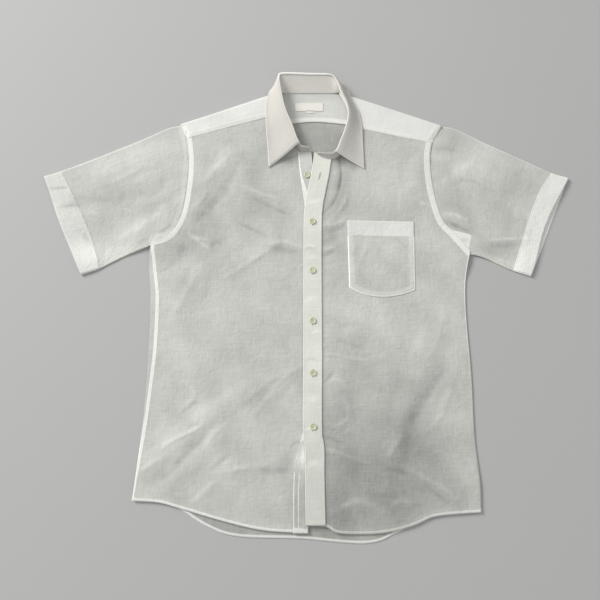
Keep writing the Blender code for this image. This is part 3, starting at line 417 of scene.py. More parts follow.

# Creases, ridges above and troughs below 0: half width, rise, painted highlight (above 0) or painted
# shade (below 0) that the crease lays on the cloth's tone, points
RIGHT_FRONT_CREASES = [
    (0.0030, -0.0007, -0.10, ((-0.126, 0.129), (-0.095, 0.114), (-0.063, 0.097))),
    (0.0028, 0.0009, 0.13, ((-0.068, 0.088), (-0.043, 0.092), (-0.024, 0.089), (-0.002, 0.082))),
    (0.0045, -0.0007, -0.10, ((-0.068, 0.079), (-0.036, 0.076), (-0.004, 0.071))),
    (0.0028, 0.0008, 0.10, ((-0.056, 0.091), (-0.066, 0.079), (-0.083, 0.066), (-0.116, 0.044),
     (-0.151, 0.021))),
    (0.0035, -0.0005, -0.05, ((-0.068, 0.069), (-0.085, 0.057), (-0.110, 0.040))),
    (0.0035, 0.0009, 0.09, ((-0.118, 0.196), (-0.094, 0.187), (-0.078, 0.180), (-0.040, 0.170))),
    (0.0032, -0.0007, -0.08, ((-0.107, 0.179), (-0.079, 0.166), (-0.065, 0.158), (-0.043, 0.147),
     (-0.018, 0.134))),
    (0.0080, 0.0012, 0.11, ((-0.125, 0.269), (-0.153, 0.240), (-0.177, 0.216), (-0.199, 0.192))),
    (0.0090, -0.0010, -0.10, ((-0.103, 0.262), (-0.124, 0.235), (-0.141, 0.204), (-0.155, 0.179),
     (-0.180, 0.151), (-0.204, 0.121))),
    (0.0040, 0.0007, 0.07, ((-0.177, 0.190), (-0.186, 0.172), (-0.199, 0.153))),
    (0.0026, 0.0005, 0.08, ((-0.207, 0.099), (-0.189, 0.098), (-0.169, 0.093))),
    (0.0030, 0.0007, 0.10, ((-0.214, 0.112), (-0.196, 0.097), (-0.181, 0.086), (-0.167, 0.077))),
    (0.0035, -0.0005, -0.10, ((-0.172, 0.082), (-0.160, 0.091), (-0.148, 0.088))),
    (0.0090, -0.0008, -0.07, ((-0.212, 0.114), (-0.220, 0.080), (-0.235, 0.044))),
    (0.0026, -0.0005, -0.08, ((-0.270, 0.040), (-0.250, 0.040), (-0.237, 0.051))),
    (0.0060, 0.0009, 0.08, ((-0.179, 0.068), (-0.202, 0.017), (-0.222, -0.020), (-0.241, -0.057))),
    (0.0070, -0.0006, -0.06, ((-0.159, 0.062), (-0.172, 0.012), (-0.181, -0.036))),
    (0.0028, 0.0009, 0.10, ((-0.004, -0.119), (-0.023, -0.136), (-0.038, -0.148), (-0.060, -0.175),
     (-0.087, -0.208))),
    (0.0035, 0.0007, 0.07, ((-0.018, -0.124), (-0.042, -0.140), (-0.062, -0.152), (-0.086, -0.170),
     (-0.112, -0.192))),
    (0.0060, -0.0005, -0.05, ((-0.013, -0.141), (-0.038, -0.172), (-0.067, -0.203))),
    (0.0035, 0.0007, 0.08, ((-0.134, -0.220), (-0.150, -0.235), (-0.161, -0.248), (-0.169, -0.270))),
    (0.0030, 0.0012, 0.14, ((-0.166, -0.221), (-0.185, -0.233), (-0.205, -0.242), (-0.225, -0.252),
     (-0.247, -0.269))),
    (0.0070, -0.0013, -0.14, ((-0.163, -0.236), (-0.188, -0.261), (-0.210, -0.283), (-0.234, -0.306),
     (-0.260, -0.328))),
    (0.0035, 0.0009, 0.12, ((-0.237, -0.275), (-0.256, -0.288), (-0.277, -0.304))),
    (0.0035, 0.0009, 0.10, ((-0.034, -0.280), (-0.061, -0.288), (-0.081, -0.293), (-0.117, -0.298),
     (-0.163, -0.307))),
    (0.0055, -0.0008, -0.10, ((-0.077, -0.301), (-0.051, -0.301), (-0.024, -0.298))),
    (0.0035, -0.0006, -0.08, ((-0.160, -0.301), (-0.142, -0.286), (-0.124, -0.273))),
    (0.0032, 0.0009, 0.11, ((-0.150, -0.315), (-0.166, -0.331), (-0.178, -0.343), (-0.194, -0.356))),
    (0.0040, -0.0006, -0.07, ((-0.138, -0.318), (-0.149, -0.329), (-0.165, -0.345))),
    (0.0028, 0.0005, 0.07, ((-0.215, -0.150), (-0.198, -0.163), (-0.190, -0.177), (-0.203, -0.192),
     (-0.220, -0.208))),
    (0.0026, -0.0006, -0.10, ((-0.210, -0.207), (-0.198, -0.197), (-0.183, -0.187))),
    (0.0035, -0.0006, -0.12, ((-0.029, -0.265), (-0.018, -0.256), (-0.005, -0.251))),
    (0.0078, 0.0010, 0.02, ((-0.006, -0.246), (-0.009, -0.262), (-0.0115, -0.278), (-0.013, -0.292),
     (-0.014, -0.318))),
]
LEFT_FRONT_CREASES = [
    (0.0028, -0.0010, -0.24, ((0.058, 0.258), (0.062, 0.231), (0.062, 0.208), (0.057, 0.183),
     (0.044, 0.158), (0.025, 0.141))),
    (0.0090, -0.0004, -0.15, ((0.051, 0.250), (0.074, 0.240), (0.098, 0.227))),
    (0.0038, 0.0009, 0.09, ((0.077, 0.200), (0.068, 0.162), (0.042, 0.130), (0.023, 0.119))),
    (0.0050, -0.0006, -0.10, ((0.028, 0.104), (0.053, 0.115), (0.074, 0.123))),
    (0.0050, -0.0005, -0.07, ((0.024, 0.088), (0.042, 0.095), (0.060, 0.106))),
    (0.0028, 0.0006, 0.07, ((0.024, 0.119), (0.049, 0.125), (0.076, 0.134))),
    (0.0026, 0.0005, 0.08, ((0.022, 0.079), (0.038, 0.079), (0.054, 0.084))),
    (0.0035, -0.0005, -0.08, ((0.022, 0.064), (0.038, 0.069), (0.053, 0.077))),
    (0.0024, 0.0005, 0.10, ((0.203, 0.166), (0.213, 0.162), (0.224, 0.157))),
    (0.0090, -0.0011, -0.10, ((0.242, -0.114), (0.224, -0.145), (0.209, -0.165), (0.188, -0.195),
     (0.170, -0.228), (0.160, -0.277))),
    (0.0032, -0.0007, -0.12, ((0.128, -0.296), (0.148, -0.300), (0.170, -0.306))),
    (0.0065, 0.0009, 0.07, ((0.251, -0.145), (0.236, -0.182), (0.221, -0.215), (0.196, -0.238))),
    (0.0035, 0.0008, 0.08, ((0.159, -0.243), (0.143, -0.267), (0.126, -0.293))),
    (0.0040, 0.0008, 0.09, ((0.164, -0.293), (0.193, -0.310), (0.222, -0.326), (0.249, -0.348))),
    (0.0030, -0.0006, -0.08, ((0.191, -0.321), (0.215, -0.339), (0.237, -0.356))),
    (0.0025, 0.0005, 0.08, ((0.028, -0.163), (0.040, -0.153), (0.057, -0.153), (0.073, -0.172))),
    (0.0025, 0.0005, 0.08, ((0.062, -0.177), (0.071, -0.198), (0.066, -0.218), (0.049, -0.228),
     (0.029, -0.225))),
    (0.0026, -0.0006, -0.11, ((0.026, -0.160), (0.038, -0.148), (0.048, -0.135))),
    (0.0028, -0.0005, -0.08, ((0.049, -0.082), (0.066, -0.088), (0.083, -0.094), (0.105, -0.100))),
    (0.0026, 0.0004, 0.06, ((0.023, -0.106), (0.049, -0.109), (0.078, -0.114), (0.108, -0.119))),
    (0.0050, 0.0005, 0.10, ((0.035, -0.368), (0.062, -0.354), (0.090, -0.347), (0.123, -0.361))),
    (0.0050, 0.0005, 0.08, ((0.136, -0.353), (0.159, -0.347), (0.175, -0.358))),
    (0.0030, 0.0006, 0.07, ((0.022, -0.265), (0.049, -0.270), (0.075, -0.280), (0.108, -0.288))),
    (0.0030, -0.0005, -0.08, ((0.022, -0.243), (0.046, -0.251), (0.065, -0.259))),
    (0.0070, 0.0006, 0.05, ((0.245, -0.006), (0.230, -0.066), (0.213, -0.111))),
    (0.0070, 0.0005, 0.04, ((0.160, 0.246), (0.169, 0.189), (0.171, 0.132))),
    (0.0050, -0.0005, -0.06, ((0.041, -0.045), (0.067, -0.057), (0.096, -0.052))),
]
RIGHT_SLEEVE_CREASES = [
    (0.0130, -0.0012, -0.10, ((-0.442, 0.164), (-0.389, 0.168), (-0.335, 0.177), (-0.282, 0.192),
     (-0.211, 0.231))),
    (0.0040, 0.0006, 0.06, ((-0.366, 0.200), (-0.323, 0.217), (-0.299, 0.235), (-0.266, 0.235))),
    (0.0026, 0.0005, 0.07, ((-0.336, 0.151), (-0.323, 0.153), (-0.307, 0.143))),
    (0.0026, 0.0005, 0.07, ((-0.389, 0.147), (-0.378, 0.145), (-0.367, 0.136))),
    (0.0080, 0.0011, 0.12, ((-0.210, 0.189), (-0.245, 0.160), (-0.271, 0.140), (-0.299, 0.119),
     (-0.345, 0.088))),
    (0.0030, -0.0009, -0.16, ((-0.266, 0.108), (-0.252, 0.115), (-0.238, 0.125))),
    (0.0040, -0.0006, -0.09, ((-0.302, 0.086), (-0.283, 0.097), (-0.264, 0.108))),
    (0.0026, 0.0006, 0.10, ((-0.274, 0.095), (-0.260, 0.104), (-0.246, 0.102))),
    (0.0028, -0.0006, -0.10, ((-0.462, 0.189), (-0.444, 0.191), (-0.428, 0.192))),
    (0.0028, -0.0006, -0.10, ((-0.447, 0.153), (-0.428, 0.158), (-0.406, 0.160))),
    (0.0050, -0.0005, -0.07, ((-0.407, 0.117), (-0.391, 0.099), (-0.374, 0.080))),
]
LEFT_SLEEVE_CREASES = [
    (0.0060, -0.0009, -0.10, ((0.227, 0.273), (0.248, 0.268), (0.281, 0.264))),
    (0.0030, 0.0005, 0.06, ((0.226, 0.254), (0.240, 0.250), (0.256, 0.240))),
    (0.0080, 0.0008, 0.07, ((0.229, 0.189), (0.251, 0.208), (0.276, 0.223), (0.317, 0.254))),
    (0.0045, -0.0008, -0.10, ((0.269, 0.200), (0.291, 0.208), (0.319, 0.196))),
    (0.0040, 0.0012, 0.14, ((0.236, 0.140), (0.261, 0.143), (0.292, 0.130))),
    (0.0050, -0.0011, -0.17, ((0.244, 0.130), (0.267, 0.121), (0.298, 0.106))),
    (0.0026, 0.0007, 0.11, ((0.319, 0.094), (0.376, 0.097), (0.408, 0.099))),
    (0.0040, -0.0006, -0.08, ((0.325, 0.084), (0.352, 0.084), (0.382, 0.086))),
    (0.0030, 0.0004, 0.06, ((0.363, 0.164), (0.376, 0.151), (0.382, 0.128))),
    (0.0060, 0.0007, 0.10, ((0.300, 0.069), (0.338, 0.058), (0.376, 0.044))),
]
# Seam turning that shows through at the left underarm
UNDERARM_FLAP = [(0.244, 0.1175), (0.294, 0.104), (0.287, 0.079), (0.262, 0.100)]
POCKET_CREASES = [
    (0.0026, -0.0005, -0.09, ((0.156, 0.102), (0.168, 0.090), (0.182, 0.075))),
    (0.0035, 0.0005, 0.07, ((0.121, 0.125), (0.108, 0.088), (0.095, 0.055), (0.087, 0.026))),
    (0.0060, -0.0004, -0.06, ((0.122, 0.091), (0.137, 0.068), (0.147, 0.044))),
    (0.0050, -0.0004, -0.05, ((0.100, 0.058), (0.094, 0.037), (0.104, 0.015))),
]
PLACKET_CREASES = [
    (0.0050, 0.0006, 0.04, ((-0.004, 0.055), (0.010, 0.062), (0.028, 0.058))),
    (0.0050, 0.0005, 0.04, ((-0.005, -0.020), (0.012, -0.012), (0.027, -0.016))),
    (0.0060, 0.0006, 0.04, ((0.004, 0.170), (0.018, 0.160), (0.030, 0.166))),
    (0.0050, 0.0005, 0.04, ((-0.005, -0.180), (0.010, -0.186), (0.027, -0.178))),
    (0.0060, 0.0007, 0.04, ((-0.002, -0.300), (0.012, -0.290), (0.030, -0.296))),
    (0.0023, 0.0004, 0.08, ((-0.003, 0.160), (0.012, 0.164), (0.029, 0.172))),
    (0.0022, 0.0003, 0.07, ((-0.004, 0.083), (0.006, 0.085), (0.017, 0.082))),
    (0.0021, -0.0003, -0.07, ((-0.004, 0.076), (0.008, 0.079), (0.019, 0.075))),
    (0.0022, 0.0003, 0.07, ((0.009, -0.072), (0.020, -0.068), (0.029, -0.071))),
    (0.0021, -0.0003, -0.07, ((-0.004, -0.121), (0.010, -0.116), (0.024, -0.122))),
    (0.0022, 0.0003, 0.06, ((-0.003, -0.236), (0.007, -0.232), (0.018, -0.237))),
]
BAND_CREASES = [
    (0.0040, 0.0004, 0.05, ((-0.012, 0.230), (-0.004, 0.222), (0.004, 0.224))),
]
YOKE_CREASES = [
    (0.0070, 0.0005, 0.04, ((-0.200, 0.306), (-0.140, 0.322), (-0.080, 0.345))),
    (0.0070, 0.0005, 0.04, ((0.220, 0.296), (0.160, 0.314), (0.100, 0.330))),
]

# Lighter and darker places of the cloth: x, y, half width, half height, change. Many are painted
# shade: shadows under the collar leaves and beside the placket's top, a shadow over the wearer's
# left lower front, darkening towards the placket's foot, and shade under the collar band on the
# inner yoke. Others are the cloth lighter where more layers lie under it.
RIGHT_FRONT_TONES = [
    (-0.130, 0.000, 0.500, 0.500, 0.04), (-0.090, 0.190, 0.050, 0.060, -0.06),
    (-0.190, 0.120, 0.050, 0.050, -0.09), (-0.130, 0.040, 0.060, 0.040, 0.04),
    (-0.255, -0.315, 0.040, 0.040, -0.02), (-0.130, 0.240, 0.030, 0.050, 0.06),
    (-0.200, -0.245, 0.060, 0.045, 0.14), (-0.093, 0.228, 0.025, 0.030, -0.06),
    (-0.268, 0.103, 0.022, 0.011, -0.30),
    (-0.205, 0.010, 0.020, 0.060, -0.05), (-0.240, -0.080, 0.030, 0.120, 0.04),
    # Painted shadow under the wearer's right collar leaf
    (-0.029, 0.246, 0.019, 0.010, -0.40),
    (-0.0055, -0.276, 0.0065, 0.020, 0.58), (-0.0145, -0.283, 0.0080, 0.012, 0.30),
    (-0.100, 0.306, 0.030, 0.010, -0.06), (-0.100, 0.200, 0.020, 0.025, -0.07),
    (-0.030, -0.355, 0.020, 0.030, -0.05), (-0.250, -0.150, 0.020, 0.080, 0.05),
]
# Wearer's left front: painted shadows under the collar leaf and beside the placket's top, and a
# painted shadow over the lower front
LEFT_FRONT_TONES = [
    (0.130, 0.050, 0.300, 0.300, 0.04), (0.100, -0.050, 0.060, 0.050, 0.12),
    (0.080, 0.225, 0.030, 0.030, 0.09), (0.270, -0.010, 0.025, 0.120, 0.06),
    (0.090, -0.340, 0.120, 0.110, -0.38), (0.165, -0.240, 0.045, 0.080, -0.20),
    (0.230, -0.330, 0.060, 0.050, -0.08), (0.057, 0.205, 0.014, 0.045, -0.22),
    (0.060, 0.249, 0.020, 0.011, -0.30), (0.080, -0.170, 0.022, 0.030, -0.07),
    (0.045, 0.095, 0.018, 0.030, -0.08), (0.055, -0.160, 0.030, 0.070, -0.06),
]
RIGHT_SLEEVE_TONES = [
    (-0.330, 0.150, 0.400, 0.400, 0.02), (-0.370, 0.222, 0.050, 0.024, 0.12),
    (-0.280, 0.268, 0.060, 0.026, 0.14), (-0.350, 0.072, 0.065, 0.026, 0.36),
    (-0.330, 0.238, 0.060, 0.020, 0.06),
]
LEFT_SLEEVE_TONES = [(0.2805, 0.0945, 0.0100, 0.0050, -0.18),
    (0.330, 0.150, 0.400, 0.400, 0.03), (0.290, 0.252, 0.070, 0.030, 0.12),
    (0.345, 0.060, 0.050, 0.022, 0.12), (0.300, 0.190, 0.050, 0.020, -0.05),
]
BACK_TONES = [(-0.022, 0.300, 0.022, 0.030, -0.12), (0.030, 0.290, 0.030, 0.030, 0.04)]
BAND_TONES = [(0.000, 0.240, 0.060, 0.060, 0.20), (-0.0055, -0.276, 0.0065, 0.020, 0.58),
              (-0.0145, -0.283, 0.0080, 0.012, 0.30)]
# Placket: painted shade, darker towards its foot
PLACKET_TONES = [(0.012, -0.330, 0.060, 0.100, -0.19), (0.012, 0.070, 0.060, 0.040, -0.06)]
POCKET_TONES = [(0.135, 0.060, 0.100, 0.100, 0.07)]
# Inner yoke: painted shade under the collar band
INNER_YOKE_TONES = [(0.015, 0.375, 0.080, 0.010, -0.08), (-0.005, 0.345, 0.030, 0.020, -0.03)]


# Curves in the plan

def curve(points, per_span=10):
    """Dense soft line through the points of a short table."""
    knots = np.array(points, dtype=float)
    if len(knots) == 2:
        return knots
    ends = np.vstack([2 * knots[0] - knots[1], knots, 2 * knots[-1] - knots[-2]])
    line = []
    for a, b, c, d in zip(ends, ends[1:], ends[2:], ends[3:]):
        for t in np.linspace(0, 1, per_span, endpoint=False):
            line.append(0.5 * (2 * b + (c - a) * t + (2 * a - 5 * b + 4 * c - d) * t ** 2
                               + (3 * b - a - 3 * c + d) * t ** 3))
    return np.vstack([line, knots[-1]])


def even(count):
    """Even shares from 0 to 1."""
    return np.linspace(0, 1, count)


def shares_of(line):
    """Share of a line's length at each of its points."""
    steps = np.linalg.norm(np.diff(line, axis=0), axis=1)
    return np.concatenate([[0], np.cumsum(steps)]) / steps.sum()


def along(line, shares):
    """Points at the given shares of a line's length."""
    run = shares_of(line)
    return np.column_stack([np.interp(shares, run, line[:, k]) for k in range(line.shape[1])])


def edge(marks, *runs):
    """Points of one edge of a panel: each run is a line with the marks where it starts and ends."""
    marks = np.asarray(marks)
    points = np.zeros((len(marks), 2))
    for line, start, end in runs:
        inside = (marks >= start - 1e-9) & (marks <= end + 1e-9)
        points[inside] = along(line, (marks[inside] - start) / (end - start))
    return points


def offset(line, distance):
    """The line moved sideways, to its left for a positive distance."""
    along_it = np.gradient(line, axis=0)
    along_it /= np.linalg.norm(along_it, axis=1)[:, None]
    return line + distance * np.column_stack([-along_it[:, 1], along_it[:, 0]])


def marks(*stops):
    """Grid marks from 0 to 1: each stop is a mark and the number of steps that lead to it."""
    found = [0.0]
    for mark, steps in stops:
        found.extend(np.linspace(found[-1], mark, steps + 1)[1:])
    return np.array(found)


def patch(us, vs, bottom, top, left, right):
    """Plan points of a four-sided panel, rows along v, from its four edges."""
    u = us[None, :, None]
    v = vs[:, None, None]
    corners = ((1 - u) * (1 - v) * bottom[0] + u * (1 - v) * bottom[-1]
               + (1 - u) * v * top[0] + u * v * top[-1])
    return ((1 - u) * left[:, None] + u * right[:, None]
            + (1 - v) * bottom[None] + v * top[None] - corners)


def straight_sided(us, vs, bottom, top):
    """Plan points of a panel whose two sides are straight."""
    return patch(us, vs, bottom, top, *(along(np.array([bottom[k], top[k]]), vs) for k in (0, -1)))


def distance_to(line, plan):
    """Distance from every plan point to the nearest place on a line."""
    start, end = line[:-1], line[1:]
    run = end - start
    apart = plan[..., None, :] - start
    share = np.clip((apart * run).sum(-1) / (run ** 2).sum(-1), 0, 1)
    return np.linalg.norm(apart - share[..., None] * run, axis=-1).min(-1)


def away_from(table, plan):
    """Distance from every plan point to the line through a table's points."""
    return distance_to(curve(table), plan)


def near(distance, flat, reach):
    """1 within flat of a line, falling softly to 0 over reach."""
    t = np.clip((distance - flat) / reach, 0, 1)
    return 1 - t * t * (3 - 2 * t)


def folds(plan, table):
    """Height that the soft ridges of a table add to a panel."""
    height = np.zeros(plan.shape[:-1])
    for x0, y0, x1, y1, half_width, rise in table:
        away = distance_to(np.array([(x0, y0), (x1, y1)]), plan) / half_width
        height += rise * np.clip(1 - away ** 2, 0, 1) ** 2
    return FOLDS_SHOWN * height


def beside(line, plan):
    """Distance from a line, positive to its left, and the share of its length there."""
    start, run = line[:-1], np.diff(line, axis=0)
    apart = plan[..., None, :] - start
    share = np.clip((apart * run).sum(-1) / (run ** 2).sum(-1), 0, 1)
    gap = apart - share[..., None] * run
    away = np.linalg.norm(gap, axis=-1)
    nearest = away.argmin(-1)[..., None]
    left = run[:, 0] * gap[..., 1] - run[:, 1] * gap[..., 0]
    lengths = np.linalg.norm(run, axis=1)
    done = np.concatenate([[0], np.cumsum(lengths)])[:-1]
    away, left, share = (np.take_along_axis(a, nearest, -1)[..., 0] for a in (away, left, share))
    nearest = nearest[..., 0]
    return np.sign(left) * away, (done[nearest] + share * lengths[nearest]) / lengths.sum()


def inside_of(plan, corners):
    """Distance to a patch with outward corners in turn to the right, negative inside it."""
    gaps = []
    for a, b in zip(corners, corners[1:] + corners[:1]):
        run = np.subtract(b, a) / np.linalg.norm(np.subtract(b, a))
        gaps.append(run[0] * (plan[..., 1] - a[1]) - run[1] * (plan[..., 0] - a[0]))
    return np.max(gaps, axis=0)


def creases(plan, table, light=False):
    """Height that a table's creases add, or the painted highlight and shade that they lay on the
    cloth's tone.
    """
    total = np.zeros(plan.shape[:-1])
    for half_width, rise, painted_shading, points in table:
        line = curve(points, per_span=5)
        reach = 4 * half_width
        close = ((plan > line.min(0) - reach) & (plan < line.max(0) + reach)).all(-1)
        if not close.any():
            continue
        away, share = beside(line, plan[close])
        fade = np.clip(4 * share * (1 - share), 0, 1) ** 0.7
        s = away / half_width
        if light:
            # Painted highlight on ridges and painted shade in troughs
            total[close] += CREASE_PAINTED_SHADING * painted_shading * fade * np.exp(-s ** 2)
        else:
            total[close] += CREASE_GAIN * rise * fade * np.exp(-np.where(s > 0, s, s / 1.5) ** 2)
    return total * (1 + CREASE_UNEVEN * ripples(plan, 0.012, 71))


def ripples(plan, size, seed):
    """Soft uneven swell between about -1 and 1, with waves of about the given size."""
    swell = np.zeros(plan.shape[:-1])
    for k, share in enumerate((0.65, 0.35)):
        lattice = np.random.default_rng(seed + k).uniform(-1, 1, (160, 160))
        place = (plan + 0.8) * (1 + k) / size
        cell = np.floor(place).astype(int)
        t = place - cell
        t = t * t * (3 - 2 * t)
        x, y = cell[..., 0] % 160, cell[..., 1] % 160
        right, up = (x + 1) % 160, (y + 1) % 160
        low = lattice[x, y] * (1 - t[..., 0]) + lattice[right, y] * t[..., 0]
        high = lattice[x, up] * (1 - t[..., 0]) + lattice[right, up] * t[..., 0]
        swell += share * (low * (1 - t[..., 1]) + high * t[..., 1])
    return swell


# Where each layer lies

FRONT_HEM_LINE = np.vstack([curve(RIGHT_FRONT_HEM)[::-1], curve(LEFT_FRONT_HEM)])
RIGHT_ARM_LINE = curve(RIGHT_ARMHOLE)
LEFT_ARM_LINE = curve(LEFT_ARMHOLE)


def front_lie(plan, over_band=0.0):
    """Underside of both fronts: on the back, over its hem, and up over sleeves and yoke."""
    at_hem = near(distance_to(FRONT_HEM_LINE, plan), HEM_LEVEL, HEM_SLOPE)
    lie = FRONT_LIE + STEP * at_hem + over_band
    lap = np.maximum(near(distance_to(RIGHT_ARM_LINE, plan), LAP_LEVEL, LAP_SLOPE),
                     near(distance_to(LEFT_ARM_LINE, plan), LAP_LEVEL, LAP_SLOPE))
    for seam in (RIGHT_YOKE_SEAM, LEFT_YOKE_SEAM):
        lap = np.maximum(lap, near(away_from(seam, plan), YOKE_LEVEL, YOKE_SLOPE))
    return np.maximum(lie, FRONT_LIE + (LAP_LIE - FRONT_LIE) * lap)


def grid_faces(rows, columns, closed=False):
    """Four-sided faces between the rows and columns of a grid of points."""
    faces = []
    for i in range(rows - 1):
        for j in range(columns if closed else columns - 1):
            k = (j + 1) % columns
            faces.append((i * columns + j, i * columns + k,
                          (i + 1) * columns + k, (i + 1) * columns + j))
    return faces


ACROSS_FRONT = marks((BAND_END, 12), (NECKLINE_END, 22), (1.0, 82))
UP_FRONT = marks((HEM_MARK, 3), (HEM_STEP_MARK, 1), (FRONT_UNDERARM, 176), (1.0, 84))


def front_plan(centre, side, armhole, hem, tops):
    """Plan of a front, from its free edge to its side and from its hem to its three tops."""
    bottom = along(curve(hem), ACROSS_FRONT)
    places = (0, BAND_END, NECKLINE_END, 1)
    top = edge(ACROSS_FRONT, *((curve(line), start, end)
                               for line, start, end in zip(tops, places, places[1:])))
    inner = along(curve(centre), UP_FRONT)
    outer = edge(UP_FRONT, (curve(side), 0, FRONT_UNDERARM), (curve(armhole), FRONT_UNDERARM, 1))
    return patch(ACROSS_FRONT, UP_FRONT, bottom, top, inner, outer)


def turned(points, outward, radius, centre_height, angles):
    """Points of a fold that turns about a line, from the lower layer to the upper one."""
    rows = []
    for angle in angles:
        reach = radius * math.cos(angle)
        height = np.full(len(points), centre_height + radius * math.sin(angle))
        rows.append(np.column_stack([points + outward * reach, height]))
    return rows


# Sheets of cloth

def tone_from(plan, patches, ripple_size, seed, crease_table=()):
    """The cloth's tone: 1 as it lies, with random spread, painted highlight and shade along creases,
    and patches that paint light and shade in some places and show layers through the cloth in
    others.
    """
    tone = 1 + TONE_SPREAD * ripples(plan, ripple_size, seed)
    tone = tone + creases(plan, crease_table, light=True)
    for x, y, half_width, half_height, change in patches:
        away = ((plan[..., 0] - x) / half_width) ** 2 + ((plan[..., 1] - y) / half_height) ** 2
        tone = tone + change * np.exp(-away)
    return tone


def set_uv(mesh, uv):
    """Cloth coordinates in metres, along and across the grain."""
    layer = mesh.uv_layers.new(name="grain")
    corner = np.zeros(len(mesh.loops), dtype=np.int32)
    mesh.loops.foreach_get("vertex_index", corner)
    layer.data.foreach_set("uv", np.asarray(uv, dtype=np.float32)[corner].ravel())


def set_marks(mesh, doubling, tone):
    """Distance to the nearest doubled band, negative inside it, and the cloth's tone, which carries
    painted light and shade.
    """
    for name, values in (("doubling", doubling), ("tone", tone)):
        layer = mesh.attributes.new(name, "FLOAT", "POINT")
        layer.data.foreach_set("value", np.asarray(values, dtype=np.float32).ravel())


def shown(name, mesh, material=None, smooth=False):
    """The mesh, lamp or camera as a piece of the scene."""
    if smooth:
        mesh.shade_smooth()
    if material:
        mesh.materials.append(material)
    piece = bpy.data.objects.new(name, mesh)
    bpy.context.scene.collection.objects.link(piece)
    return piece


def shown_work(name, work, material=None, smooth=False):
    """A mesh that was built up in parts, as a piece of the scene."""
    mesh = bpy.data.meshes.new(name)
    work.to_mesh(mesh)
    work.free()
    return shown(name, mesh, material, smooth)


def part_of_shirt(piece, node=None):
    """Says what the piece rides on and the solid that it stands for."""
    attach(piece, "root")
    if node:
        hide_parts(node)
    return piece


def lay(name, points, faces, uv, doubling, tone, material, thickness, facing_up=True,
        witness=None, side=-1.0):
    """A sheet made from its outer points, with its wall under them."""
    mesh = bpy.data.meshes.new(name)
    moved = np.asarray(points, dtype=float).reshape(-1, 3) + (*LAID, 0.0)
    mesh.from_pydata(moved.tolist(), [], faces)
    mesh.update()
    index = len(faces) // 2 if witness is None else witness
    if (mesh.polygons[index].normal.z > 0) != facing_up:
        mesh.flip_normals()
    set_uv(mesh, np.asarray(uv).reshape(-1, 2))
    set_marks(mesh, doubling, tone)
    piece = shown(name, mesh, material, smooth=True)
    wall = piece.modifiers.new("wall", "SOLIDIFY")
    wall.thickness = thickness
    wall.offset = side
    wall.use_even_offset = False
    return piece


def grid_area(points):
    """Area of a grid of points, in square metres."""
    p = np.zeros((*np.shape(points)[:2], 3))
    p[..., :np.shape(points)[-1]] = points
    a, b, c, d = p[:-1, :-1], p[:-1, 1:], p[1:, 1:], p[1:, :-1]
    return 0.5 * (np.linalg.norm(np.cross(b - a, c - a), axis=-1)
                  + np.linalg.norm(np.cross(c - a, d - a), axis=-1)).sum()


def declare(piece, node, area):
    """What the piece stands for; the size it was cut to, area, is not used."""
    part_of_shirt(piece, node)


def flat_sheet(node, plan, top, doubling, tone, material, name=None,
               holes=(), thickness=THIN):
    """A panel that lies flat: its plan, the height of its upper face, its marks and its cut."""
    rows, columns = plan.shape[:2]
    points = np.dstack([plan, np.broadcast_to(top, (rows, columns))])
    faces = [face for k, face in enumerate(grid_faces(rows, columns)) if k not in holes]
    piece = lay(name or node + "_cloth", points, faces, plan, doubling, tone, material, thickness)
    declare(piece, node, grid_area(plan))


# Body

def side_band(plan, side, widths):
    """Distance to the felled side seam, which lies a little inboard of the fold at the side."""
    away = away_from(side, plan)
    inner = np.interp(plan[..., 1], *widths)
    half = np.minimum(SIDE_BAND, inner) / 2
    return np.abs(away - inner + half) - half


def front_doubling(plan, armhole, hem, side, widths):
    arm = away_from(armhole, plan) - ARM_BAND
    low = away_from(hem, plan) - HEM_SHOWN
    return np.minimum(np.minimum(arm, low), side_band(plan, side, widths))


def hem_rise(plan):
    """The turned hem stands a little proud of the cloth."""
    return (HEM_TIMES - 1) * CLOTH * near(distance_to(FRONT_HEM_LINE, plan), HEM - 0.001, 0.002)


def arm_sink(plan, armhole):
    """The felled armhole is drawn down onto the sleeve at its edge."""
    return ARM_SINK * near(away_from(armhole, plan), 0.0005, 0.0045)


def right_front_top(plan):
    cover = np.interp(plan[..., 1], *np.transpose(curve(LEFT_EDGE))[::-1])
    from_cover = away_from(LEFT_EDGE, plan)
    covered = np.where(plan[..., 0] > cover, 1.0, near(from_cover, 0.002, 0.020))
    soft = creases(plan, RIGHT_FRONT_CREASES) + CRINKLE * ripples(plan, CRINKLE_SIZE, 11)
    return (front_lie(plan) + folds(plan, RIGHT_FRONT_FOLDS) + CLOTH + hem_rise(plan)
            + np.maximum(soft * (1 - covered), -SINK) - arm_sink(plan, RIGHT_ARMHOLE))


def left_front_top(plan):
    from_edge = away_from(LEFT_EDGE, plan)
    over_band = 2 * STEP * near(from_edge, BAND_LEVEL, BAND_SLOPE)
    soft = creases(plan, LEFT_FRONT_CREASES) + CRINKLE * ripples(plan, CRINKLE_SIZE, 23)
    return (front_lie(plan, over_band) + folds(plan, LEFT_FRONT_FOLDS) + CLOTH + hem_rise(plan)
            + np.maximum(soft, -SINK) - arm_sink(plan, LEFT_ARMHOLE))


